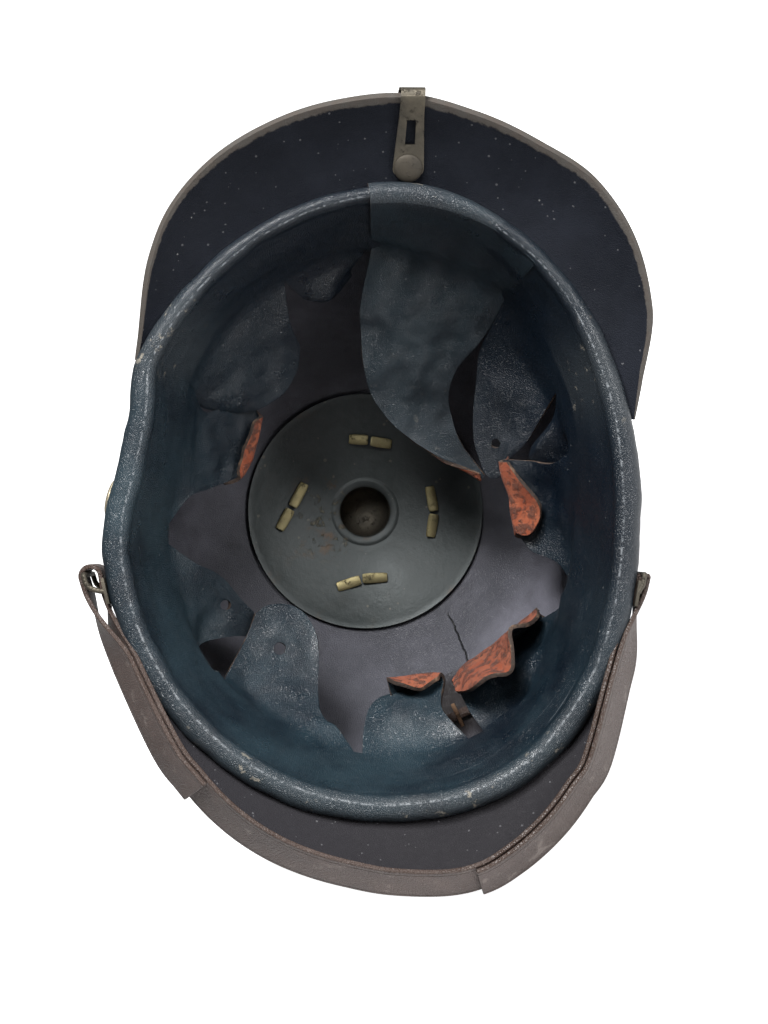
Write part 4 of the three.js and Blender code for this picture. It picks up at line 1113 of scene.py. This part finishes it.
def flap_column(u):
    """The line that one column of the flap follows from outside the lip to the tip."""
    turn = radians(mix(*FLAP_TURNS, u))
    wide = lip_width(turn)
    proud = 1.6 * (1 - smooth(u, 0.25, 0.85)) - 0.1
    column = []
    for angle in (182, 225, 270, 315, 350):
        across, down = cos(radians(angle)), sin(radians(angle))
        spot = hull(turn, 0) + inward(turn) * (wide * (0.5 + 0.52 * across) + proud * across)
        spot.z = -1.2 + (4.6 + proud) * down
        column.append(spot)
    ends = [radians(end) for end in FLAP_TURNS]
    for height, free in ON_BAND:
        on_band = band_place(turn, height) + inward(turn) * proud
        straight = band_place(ends[0], height).lerp(band_place(ends[1], height), u)
        column.append(on_band.lerp(straight, free))
    for left, right in FLAP_CROSSINGS:
        column.append(Vector(left).lerp(Vector(right), u))
    belly = Vector((0, 0.8, -0.5)) * 2.2 * sin(pi * u)
    return [spot - belly * smooth(i, 6, 10) for i, spot in enumerate(column)]


flap_columns = [flap_column(i / 90) for i in range(91)]


def flap_place(u, v):
    """A place on the side of the flap that faces the camera."""
    spot = through(flap_columns[round(u * 90)], v)
    loose = smooth(v, 0.35, 0.6)
    held = 1 - smooth(u, 0.8, 1) * (1 - smooth(v, 0.5, 0.7))
    crease = swell(spot, 15, 1.7) + swell(spot + Vector((40, 0, 0)), 6, 0.6) + swell(spot, 2.6, 0.16)
    fold = 0.45 * sin((spot.x * 0.5 + spot.y * 0.22) * 0.9)
    fold = fold * smooth(v, 0.3, 0.5) * (1 - smooth(v, 0.75, 0.95))
    return spot + Vector((0, -0.5, -0.86)) * (crease * loose + fold) * held


def flap_wear(place):
    """The flap is most worn over the lip and towards its free end."""
    return min(0.25 + 0.5 * smooth(-place.z, 0, 6) + 0.3 * smooth(place.z, 30, 70), 1.0)


leather = bmesh.new()
grid(leather, 90, 120, flap_place)
for face in leather.faces:
    face.normal_update()
flap_piece_normal = sum((face.normal.z for face in leather.faces), 0.0)
if flap_piece_normal > 0:
    bmesh.ops.reverse_faces(leather, faces=leather.faces)
loose_flap = finish_mesh(
    "loose_flap", leather, [liner_leather, suede, cut_edge], ["liner_flap"]
)
paint(loose_flap, "wear", flap_wear)
# The flap takes most of the painted light.
paint(loose_flap, "painted_light_share", lambda place: 0.8)
paint(loose_flap, "lip", lambda place: 0.0)
paint(loose_flap, "scratched", lambda place: 0.0)
thicken(loose_flap, FLAP_LEATHER, back=1, edge=2)
round_edges(loose_flap, 0.35, 2)
print("flap faces", len(loose_flap.data.polygons))

# %% [markdown]
# ## Turned metal
# The disc inside the crown, the base of the spike, the spike, rivets and studs are all turned shapes.
# Each profile is a few points of radius and height that an edge run is spun round.

# %% Turning
def turn_profile(mesh, profile, steps):
    """Spins a profile of (radius, height) points round Z and seals it."""
    first = [mesh.verts.new((radius, 0, height)) for radius, height in profile]
    edges = [mesh.edges.new(pair) for pair in zip(first, first[1:])]
    bmesh.ops.spin(
        mesh, geom=first + edges, axis=(0, 0, 1), cent=(0, 0, 0), steps=steps, angle=2 * pi, use_merge=True
    )
    bmesh.ops.remove_doubles(mesh, verts=mesh.verts, dist=0.001)


def turned(name, profile, steps, finishes, replaced, matrix=None, rounding=0.0):
    """A turned piece, set in place by a matrix."""
    metal = bmesh.new()
    turn_profile(metal, profile, steps)
    if matrix is not None:
        bmesh.ops.transform(metal, matrix=matrix, verts=metal.verts)
    bmesh.ops.recalc_face_normals(metal, faces=metal.faces)
    piece = finish_mesh(name, metal, finishes, replaced)
    if rounding:
        round_edges(piece, rounding, 3, 30)
    return piece


# %% Inner disc
DISC_RADIUS = 48.3
DISC_SHEET = 1.1
DISC_HOLE = 10.4
DISC_RING = 13.2


def disc_top(radius):
    """Height of the disc's upper face: it dishes a little more than the crown does."""
    return crown_height(radius, -WALL - 0.3) - 1.5 * (radius / DISC_RADIUS) ** 2


def disc_profile():
    """The disc in section, from its hole out to its rim and back underneath."""
    level = disc_top(DISC_HOLE)
    reach = [DISC_RING + 1.6 + (DISC_RADIUS - DISC_RING - 1.6) * i / 14 for i in range(15)]
    rows = [(DISC_HOLE, level)]
    rows += [(radius, disc_top(radius)) for radius in reach]
    rows += [(radius, disc_top(radius) - DISC_SHEET) for radius in reversed(reach)]
    rows += [(DISC_RING + 1.0, level - DISC_SHEET - 0.35), (DISC_RING + 0.4, level - DISC_SHEET - 0.7),
             (DISC_RING - 0.5, level - DISC_SHEET - 0.75), (DISC_RING - 1.4, level - DISC_SHEET - 0.45),
             (DISC_HOLE + 0.7, level - DISC_SHEET - 0.35), (DISC_HOLE, level - DISC_SHEET + 0.1),
             (DISC_HOLE, level)]
    return rows


def disc_wear(place):
    """The disc is scraped round its centre and down to the wearer's left."""
    radius = sqrt(place.x**2 + place.y**2)
    middle = exp(-(((place.x - 14) ** 2 + (place.y + 4) ** 2) / 260))
    return min(middle + 0.25 * smooth(radius, 44, 48) + 0.12, 1.0)


inner_disc = turned("disc", disc_profile(), 144, [disc_lacquer], ["inner_disc"])
paint(inner_disc, "wear", disc_wear)
round_edges(inner_disc, 0.25, 2, 40)

# %% [markdown]
# **The spike and its base** are hidden from the camera, but not from the side. The base is a domed
# plate with a rolled rim and a neck, and its socket is the brass bowl that shows through the disc.

# %% Spike
BASE_RADIUS = 50.5
PLATE = 1.1
NECK_ROOT = 21
NECK_RADIUS = 12.6
NECK_TOP = HEIGHT + 27
SPIKE_FOOT = NECK_TOP + 0.3


BOWL_DEPTH = 7
RIM_BEAD = 1.05
COLLAR_RADIUS = 13.4
CONE_LENGTH = 66


def base_profile():
    """The spike's base in section: the bowl, the plate on the skull, its rolled edge and the neck."""
    under = lambda radius: crown_height(radius, 0.3)
    over = lambda radius: crown_height(radius, 0.3 + PLATE)
    inner = [DISC_HOLE + 3 + (BASE_RADIUS - DISC_HOLE - 3) * i / 12 for i in range(13)]
    outer = [BASE_RADIUS - 3 - (BASE_RADIUS - 3 - NECK_ROOT) * i / 10 for i in range(11)]
    floor_level = HEIGHT + 12
    edge = under(BASE_RADIUS)
    rows = [(0.01, floor_level)]
    bowl = [radians(a) for a in (15, 30, 45, 60, 75, 90)]
    rows += [(DISC_HOLE * sin(a), floor_level - BOWL_DEPTH * (1 - cos(a))) for a in bowl]
    rows += [(DISC_HOLE, under(DISC_HOLE))]
    rows += [(radius, under(radius)) for radius in inner]
    rim = [radians(a) for a in (0, 45, 90, 135, 180)]
    rows += [(BASE_RADIUS + 0.9 + RIM_BEAD * sin(a), edge + 1.2 - RIM_BEAD * cos(a)) for a in rim]
    rows += [(radius, over(radius)) for radius in outer]
    rows += [(NECK_ROOT - 0.6, over(NECK_ROOT) + 1.4), (NECK_ROOT - 2, over(NECK_ROOT) + 2.2),
             (NECK_ROOT - 3.4, over(NECK_ROOT) + 2.4), (NECK_RADIUS + 3.2, HEIGHT + 6),
             (NECK_RADIUS + 1.6, HEIGHT + 9.5), (NECK_RADIUS + 0.5, HEIGHT + 14), (NECK_RADIUS, HEIGHT + 19),
             (NECK_RADIUS, NECK_TOP - 0.4), (NECK_RADIUS - 0.4, NECK_TOP), (8.3, NECK_TOP),
             (8.3, HEIGHT + 15),
             (0.01, HEIGHT + 15)]
    return rows


def spike_profile():
    """The spike in section: its root in the neck, its collar and a slightly hollow cone."""
    collar = SPIKE_FOOT + 4
    tip = collar + CONE_LENGTH
    rows = [(0.01, HEIGHT + 15.3), (8, HEIGHT + 15.3), (8, SPIKE_FOOT)]
    bead = [radians(a) for a in (0, 30, 60, 90, 120, 150, 180)]
    rows += [(COLLAR_RADIUS + 1.1 * sin(a), SPIKE_FOOT + 2 - 2 * cos(a)) for a in bead]
    rows += [(10.6, collar), (9.9, collar + 0.9), (9.8, collar + 2.5)]
    for s in (0.2, 0.4, 0.6, 0.8, 1):
        rows.append((mix(9.8, 1.5, s) * (1 - 0.05 * sin(pi * s)), mix(collar + 2.5, tip - 1.4, s)))
    rows += [(1.05, tip - 0.5), (0.01, tip)]
    return rows


turned("spike_plate", base_profile(), 128, [aged_brass], ["spike_base"])
turned("spike_cone", spike_profile(), 96, [aged_brass], ["spike"])

# %% [markdown]
# **Studs.** Four domed studs hold the base. Each is a dome outside and a split pin inside, whose two
# legs are bent flat against the disc with a small dark gap between them.

# %% Studs
STUD_CIRCLE = 30.5
STUD_HEAD = 5.6
PIN_WIDTH = 4.0
PIN_SHEET = 0.8
STUDS = [
    # turn round the spike, then each leg from its free end to its root
    ("rear", 95, ((6.7, 30.1), (-1.2, 29.7)), ((-10.9, 28.0), (-2.1, 29.3))),
    ("left", 2.5, ((25.2, 11.6), (30.2, 1.9)), ((35.6, -7.7), (31.0, 0.8))),
    ("right", 180, ((-26.8, 10.4), (-28.6, 0.1)), ((-27.2, -10.6), (-28.6, -1.0))),
    ("front", 272.5, ((11.7, -31.5), (2.0, -28.4)), ((-9.2, -27.4), (1.2, -27.9))),
]


def stud_seat(turn):
    """Z along the stud's shank, out of the crown."""
    step = 0.01
    height = crown_height(STUD_CIRCLE)
    slope = (crown_height(STUD_CIRCLE + step) - height) / step
    return (
        Matrix.Rotation(turn, 4, "Z")
        @ Matrix.Translation((STUD_CIRCLE, 0, height))
        @ Matrix.Rotation(-atan2(slope, 1), 4, "Y")
    )


def on_disc(x, y, lift):
    """A place under the disc's lower face, towards the head."""
    return Vector((x, y, disc_top(sqrt(x * x + y * y)) - DISC_SHEET - lift))


def pin_leg(mesh, tip, root, tip_lift, root_lift):
    """One leg of a split pin: a bent strip with a rounded free end."""
    middle = []
    for share in (0, 0.1, 0.3, 0.55, 0.8, 0.95, 1):
        level = [mix(root[i], tip[i], share) for i in (0, 1)]
        middle.append(on_disc(*level, mix(root_lift, tip_lift, share)))
    widths = (0.8, 0.95, 1, 0.98, 0.95, 0.86, 0.7)
    made = bmesh.ops.create_grid(mesh, x_segments=4, y_segments=6, size=0.5)["verts"]
    run = (middle[-1] - middle[0]).normalized()
    side = run.cross(Vector((0, 0, 1))).normalized()
    for vert in made:
        row = round((vert.co.y + 0.5) * 6)
        dish = 0.35 * (1 - (2 * vert.co.x) ** 2)
        vert.co = middle[row] + side * vert.co.x * PIN_WIDTH * widths[row] - Vector((0, 0, dish))
    faces = list({face for vert in made for face in vert.link_faces})
    bmesh.ops.recalc_face_normals(mesh, faces=faces)
    bmesh.ops.solidify(mesh, geom=faces, thickness=PIN_SHEET)


def stud_piece(name, turn, first, second):
    """A domed stud on the base, with the two bent legs of its split pin inside."""
    metal = bmesh.new()
    top = 0.3 + PLATE + 0.3
    domed = [radians(a) for a in range(0, 90, 15)]
    head = [(0.01, top), (STUD_HEAD, top)]
    head += [(STUD_HEAD * cos(a), top + 0.5 + 2.5 * sin(a)) for a in domed]
    turn_profile(metal, head + [(0.01, top + 3.0)], 32)
    bmesh.ops.transform(metal, matrix=stud_seat(radians(turn)), verts=metal.verts)
    pin_leg(metal, *first, 0.5, 1.6)
    pin_leg(metal, *second, 0.6, 1.9)
    bmesh.ops.recalc_face_normals(metal, faces=metal.faces)
    piece = finish_mesh("split_pin_" + name, metal, [pin_brass], ["stud_" + name])
    round_edges(piece, 0.2, 2, 40)
    return piece


for row in STUDS:
    stud_piece(*row)
print("studs made")

# %% [markdown]
# ## The rear spine
# A thin metal strip runs down the back of the skull, follows the rear visor on its outside and is
# folded over the visor's rim. Its folded end flares a little, has a slot, and is held by a rivet.

# %% Rear spine
SPINE_WIDTH = 8
SPINE_END = 10.6
SPINE_SHARE = 0.4725
SPINE_SIDEWAYS = -2.5
SPINE_LIFT = 1.0
SLOT_ROWS = (0.815, 0.893)
SLOT_COLUMNS = (0.32, 0.68)


def spine_points():
    """Places along the spine: up the skull, over the visor, round its rim and back under it."""
    above = VISOR_THICKNESS / 2 + SPINE_LIFT
    points = [hull(pi / 2, rise, SPINE_LIFT) for rise in (0.665, 0.6, 0.5, 0.4, 0.3, 0.2, 0.11, 0.06)]
    points += [visor_place(REAR, SPINE_SHARE, reach, above) for reach in (0.12, 0.3, 0.5, 0.7, 0.88)]
    rim = visor_middle(REAR, SPINE_SHARE, 1)
    up = (visor_place(REAR, SPINE_SHARE, 1, 1) - rim).normalized()
    ahead = (rim - visor_middle(REAR, SPINE_SHARE, 0.95)).normalized()
    for angle in (10, 40, 70, 90, 110, 140, 170):
        points.append(rim + (ahead * sin(radians(angle)) + up * cos(radians(angle))) * above)
    points += [visor_place(REAR, SPINE_SHARE, reach, -above) for reach in (0.86, 0.74, 0.6, 0.45, 0.3, 0.19)]
    for i, point in enumerate(points):
        point.x += SPINE_SIDEWAYS * smooth(i, 8, 16)
    return points


spine_line = spine_points()


def spine_place(u, v):
    """A place on the middle of the spine's sheet."""
    spot = through(spine_line, v)
    width = SPINE_WIDTH + (SPINE_END - SPINE_WIDTH) * smooth(v, 0.76, 1.0)
    rounding = sqrt(max(1 - max(v - 0.965, 0) ** 2 / 0.035**2, 0.0))
    return spot + Vector((u - 0.5, 0, 0)) * width * max(rounding, 0.15)


metal = bmesh.new()
grid(metal, 25, 260, spine_place)
shares = metal.loops.layers.uv.active
slot = []
for face in metal.faces:
    middle = sum((loop[shares].uv for loop in face.loops), Vector((0, 0))) / len(face.loops)
    if SLOT_COLUMNS[0] < middle.x < SLOT_COLUMNS[1] and SLOT_ROWS[0] < middle.y < SLOT_ROWS[1]:
        slot.append(face)
bmesh.ops.delete(metal, geom=slot, context="FACES")
bmesh.ops.recalc_face_normals(metal, faces=metal.faces)
back_spine = finish_mesh("back_spine", metal, [aged_brass], ["rear_spine"])
thicken(back_spine, 1.0, offset=0.0)
round_edges(back_spine, 0.3, 2)
print("slot faces taken out", len(slot))

# %% [markdown]
# **Small round fittings.** The spine's rivet and the button on the wearer's left side are turned
# domes. Each is made along Z and then moved to its seat.

# %% Rivet and button
RIVET_REACH = 0.3
BUTTON_TURN = 1.0
FITTING_RISE = 0.0185


def dome(radius, rise, foot, shank, steps=7):
    """The profile of a dome on a short shank."""
    rows = [(0.01, -shank), (1.4, -shank), (1.4, foot), (radius - 0.3, foot), (radius, foot + 0.3)]
    climb = [radians(90 * i / steps) for i in range(1, steps)]
    rows += [(radius * cos(a), foot + 0.3 + rise * sin(a)) for a in climb]
    return rows + [(0.01, foot + 0.3 + rise)]


rivet_root = visor_place(REAR, SPINE_SHARE, RIVET_REACH, -(VISOR_THICKNESS / 2 + SPINE_LIFT + 0.5))
rivet_root.x += SPINE_SIDEWAYS
rivet_out = visor_place(REAR, SPINE_SHARE, RIVET_REACH, -1) - visor_middle(REAR, SPINE_SHARE, RIVET_REACH)
rivet_seat = Matrix.Translation(rivet_root) @ rivet_out.to_track_quat("Z", "Y").to_matrix().to_4x4()
turned("visor_rivet", dome(4.9, 1.3, 0, 1.2), 48, [dull_brass], ["spine_rivet"], rivet_seat)
button_seat = seat(radians(BUTTON_TURN), FITTING_RISE)
turned("knob", dome(6.4, 1.5, 0.2, 4), 64, [button_brass], ["side_button"], button_seat)

# %% [markdown]
# **Strap posts.** On each side a narrow plate is riveted to the skull, and two ears carry a bar that
# the strap's end is folded round.

# %% Strap posts
POSTS = {
    "left": {"turn": -14.5, "bar": 7, "reach": 6.8},
    "right": {"turn": 195, "bar": 6.6, "reach": 2.2},
}
BAR_SPAN = 21.6
BAR_RADIUS = 0.9


def block(mesh, low, high):
    """A box between two corners, as a part of a bmesh."""
    corners = bmesh.ops.create_cube(mesh, size=1)["verts"]
    for corner in corners:
        corner.co = Vector([mix(low[i], high[i], corner.co[i] + 0.5) for i in range(3)])
    return corners


def rod(mesh, start, end, radius, sides=20):
    """A round rod between two places, as a part of a bmesh."""
    run = Vector(end) - Vector(start)
    made = bmesh.ops.create_cone(
        mesh, cap_ends=True, segments=sides, radius1=radius, radius2=radius, depth=run.length
    )["verts"]
    turn = run.to_track_quat("Z", "Y").to_matrix().to_4x4()
    placed = Matrix.Translation((Vector(start) + Vector(end)) / 2) @ turn
    bmesh.ops.transform(mesh, matrix=placed, verts=made)


def strap_post(name, turn, bar, reach, way):
    """A riveted plate with two bent arms that carry the bar for the strap."""
    metal = bmesh.new()
    far = way * bar
    block(metal, (-4.4, -11.6, 0.4), (4.4, 11.6, 1.5))
    for end in (1, -1):
        level = end * (BAR_SPAN / 2)
        bent = [
            (0, level, 1.2), (far * 0.1, level, reach * 0.5),
            (far * 0.45, level, reach * 0.93), (far, level, reach),
        ]
        line = even_line(bent, 8)
        for here, there in zip(line, line[1:]):
            rod(metal, here, there, BAR_RADIUS, 12)
            knee = Matrix.Translation(there)
            bmesh.ops.create_icosphere(metal, subdivisions=2, radius=BAR_RADIUS, matrix=knee)
    rod(metal, (far, -BAR_SPAN / 2, reach), (far, BAR_SPAN / 2, reach), BAR_RADIUS)
    turn_profile(metal, dome(4.1, 1.3, 1.5, 4), 40)
    bmesh.ops.transform(metal, matrix=seat(radians(turn), FITTING_RISE), verts=metal.verts)
    bmesh.ops.recalc_face_normals(metal, faces=metal.faces)
    piece = finish_mesh("strap_hanger_" + name, metal, [aged_brass], ["strap_post_" + name])
    round_edges(piece, 0.3, 3, 40)


strap_post("left", way=1, **POSTS["left"])
strap_post("right", way=-1, **POSTS["right"])

# %% [markdown]
# **Front shield.** Nothing of the real shield shows but the loops that hold it, so it is a plain,
# slightly domed sheet. Each loop comes through the skull and a leather peg is pushed through it.

# %% Front shield
SHIELD_SHEET = 0.9
LOOP_TURNS = (-113, -67)
LOOP_RISE = 0.33
LOOP_REACH = 9
SHIELD_ROWS = [
    (0.1, 3), (0.12, 10), (0.16, 17), (0.22, 22), (0.3, 25), (0.38, 26), (0.45, 24), (0.49, 17), (0.515, 6),
]


def shield_place(u, v):
    """A place on the shield's sheet: u across, v up."""
    rise, spread = through([Vector(row) for row in SHIELD_ROWS], v)
    turn = radians(-90 + mix(-spread, spread, u))
    return hull(turn, rise, 0.9)


metal = bmesh.new()
grid(metal, 60, 60, shield_place)
bmesh.ops.recalc_face_normals(metal, faces=metal.faces)
sheet = finish_mesh("shield_plate", metal, [aged_brass], ["front_shield"])
thicken(sheet, SHIELD_SHEET, offset=0.0)
round_edges(sheet, 0.3, 2)

for side, turn in zip(("right", "left"), LOOP_TURNS):
    metal = bmesh.new()
    block(metal, (-0.8, -4, -LOOP_REACH), (0.8, -2.6, 0.6))
    block(metal, (-0.8, 2.6, -LOOP_REACH), (0.8, 4, 0.6))
    block(metal, (-0.8, -4, -LOOP_REACH - 0.1), (0.8, 4, -LOOP_REACH + 1.2))
    bmesh.ops.transform(metal, matrix=seat(radians(turn), LOOP_RISE), verts=metal.verts)
    ear = finish_mesh("shield_loop_" + side, metal, [rusty_iron])
    round_edges(ear, 0.35, 3, 40)
    leather = bmesh.new()
    middle = (1.2 - LOOP_REACH - WALL - 1.2) / 2
    block(leather, (-13.5, -2.5, middle - 1), (13.5, 2.5, middle + 1))
    for corner in leather.verts:
        corner.co.y *= 1 - 0.35 * (corner.co.x > 0)
    long_edges = [e for e in leather.edges if abs((e.verts[0].co - e.verts[1].co).x) > 5]
    bmesh.ops.subdivide_edges(leather, edges=long_edges, cuts=8)
    bmesh.ops.transform(leather, matrix=seat(radians(turn), LOOP_RISE), verts=leather.verts)
    for corner in leather.verts:
        corner.co += Vector((0, 0, swell(corner.co, 9, 0.8)))
    wedge = finish_mesh(
        "shield_wedge_" + side, leather, [strap_leather], ["shield_peg_" + side]
    )
    round_edges(wedge, 0.5, 3, 40)
print("shield and its loops made")

# %% [markdown]
# ## The chin strap
# One leather strap goes round each post and back on itself. Its line follows the front visor's rim,
# a little clear of it, and it leans outwards at the front. The ribbon is a long grid: the map runs
# along it and across it, which is what its pressed lines need.

# %% Chin strap
STRAP_WIDTH = 18
STRAP_LEATHER = 1.6
STRAP_LAYER = 2.1
POST_HEIGHT = 7
FRONT_HEIGHT = -12
SIDE_TILT = 30
FRONT_TILT = 36
LEFT_END = 0.265
RIGHT_END = 0.601
STRAP_CLEAR = 1.75
WRAP = BAR_RADIUS + 0.05 + STRAP_LEATHER / 2
LEFT_LOOP = 3.5
LEFT_LOOP_END = 0.105


def strap_path():
    """The middle of the strap's inner layer, seen from below, as evenly spaced places."""
    bars = []
    for side, way in (("left", 1), ("right", -1)):
        row = POSTS[side]
        bars.append(seat(radians(row["turn"]), FITTING_RISE) @ Vector((way * row["bar"], 0, row["reach"])))
    edge = []
    for i in range(15):
        place = oval(radians(mix(-36, -140, i / 14)), FRONT["half_width"] + STRAP_CLEAR,
                     FRONT["half_length"] + STRAP_CLEAR, FRONT["exponent"])
        place.x -= FRONT["bow"] * (place.y / FRONT["half_length"]) ** 2
        edge.append(wandered(FRONT, place))
    left, right = bars
    start = (left.x + WRAP - 2 * LEFT_LOOP, left.y, 0)
    finish = (right.x + WRAP, right.y, 0)
    beside_left = [hull(radians(turn), 0, off) for turn, off in ((-19, 2.6), (-27, 2.4))]
    beside_right = [hull(radians(turn), 0, off) for turn, off in ((213, 2.6), (206, 1.4))]
    return left, right, even_line([start] + beside_left + edge + beside_right + [finish], 400)


_, right_bar, strap_even = strap_path()


def strap_station(share, layer):
    """Place, outward face and upward edge of the strap at a share of its way round."""
    here = through(strap_even, share)
    along = through(strap_even, min(share + 0.004, 1)) - through(strap_even, max(share - 0.004, 0))
    out = Vector((along.y, -along.x, 0)).normalized()
    if out.dot(here) < 0:
        out.negate()
    front = max(sin(pi * share), 0) ** 0.8
    tilt = radians(mix(SIDE_TILT * smooth(front, 0.08, 0.42), FRONT_TILT, smooth(front, 0.3, 1)))
    face = out * cos(tilt) + Vector((0, 0, -sin(tilt)))
    up = out * sin(tilt) + Vector((0, 0, cos(tilt)))
    place = Vector((here.x, here.y, mix(POST_HEIGHT, FRONT_HEIGHT, smooth(front, 0.1, 1))))
    return place + face * layer, up, face


def strap_stations():
    """Every station of the ribbon, from one doubled end to the other."""
    rows = []

    def spread(share):
        if share < 0.5:
            return mix(2 * LEFT_LOOP, STRAP_LAYER, smooth(share, -0.02, LEFT_LOOP_END))
        return mix(2 * WRAP, STRAP_LAYER, smooth(1 - share, 0, 0.07))

    for i in range(61):
        share = mix(LEFT_END, 0, i / 60)
        rows.append(strap_station(share, spread(share))[:2])
    for i in range(1, 16):
        angle = pi * i / 16
        start = strap_station(0, 0)[0]
        centre = (start + strap_station(0, spread(0))[0]) / 2
        out = start - centre
        round_bar = Vector((-out.y, out.x, 0)) if out.x > 0 else Vector((out.y, -out.x, 0))
        rows.append((centre - out * cos(angle) + round_bar * sin(angle), Vector((0, 0, 1))))
    for i in range(241):
        rows.append(strap_station(i / 240, 0)[:2])
    for i in range(1, 16):
        angle = -pi * i / 16
        centre = Vector((right_bar.x, right_bar.y, POST_HEIGHT))
        rows.append((centre + Vector((cos(angle), sin(angle), 0)) * WRAP, Vector((0, 0, 1))))
    for i in range(81):
        share = mix(1, RIGHT_END, i / 80)
        rows.append(strap_station(share, spread(share))[:2])
    return rows


strap_rows = strap_stations()


def strap_place(u, v):
    """A place on the ribbon's middle: u along it, v across it."""
    middle, up = strap_rows[round(u * (len(strap_rows) - 1))]
    spot = middle + up * (v - 0.5) * STRAP_WIDTH
    return spot + Vector((0, 0, 1)) * swell(middle, 38, 0.8)


leather = bmesh.new()
grid(leather, len(strap_rows) - 1, 12, strap_place)
bmesh.ops.recalc_face_normals(leather, faces=leather.faces)
chin_band = finish_mesh("chin_band", leather, [strap_leather], ["chin_strap"])
# Painted shade: full towards the wearer's right, half at the far left end.
paint(chin_band, "painted_strap_shade", lambda place: max(smooth(-place.x, 35, 70), 0.5 * smooth(place.x, 60, 85)))
thicken(chin_band, STRAP_LEATHER, offset=0.0)
round_edges(chin_band, 0.45, 3)
strap_length = sum((b[0] - a[0]).length for a, b in zip(strap_rows, strap_rows[1:]))
print("strap leather is %d mm long" % strap_length)
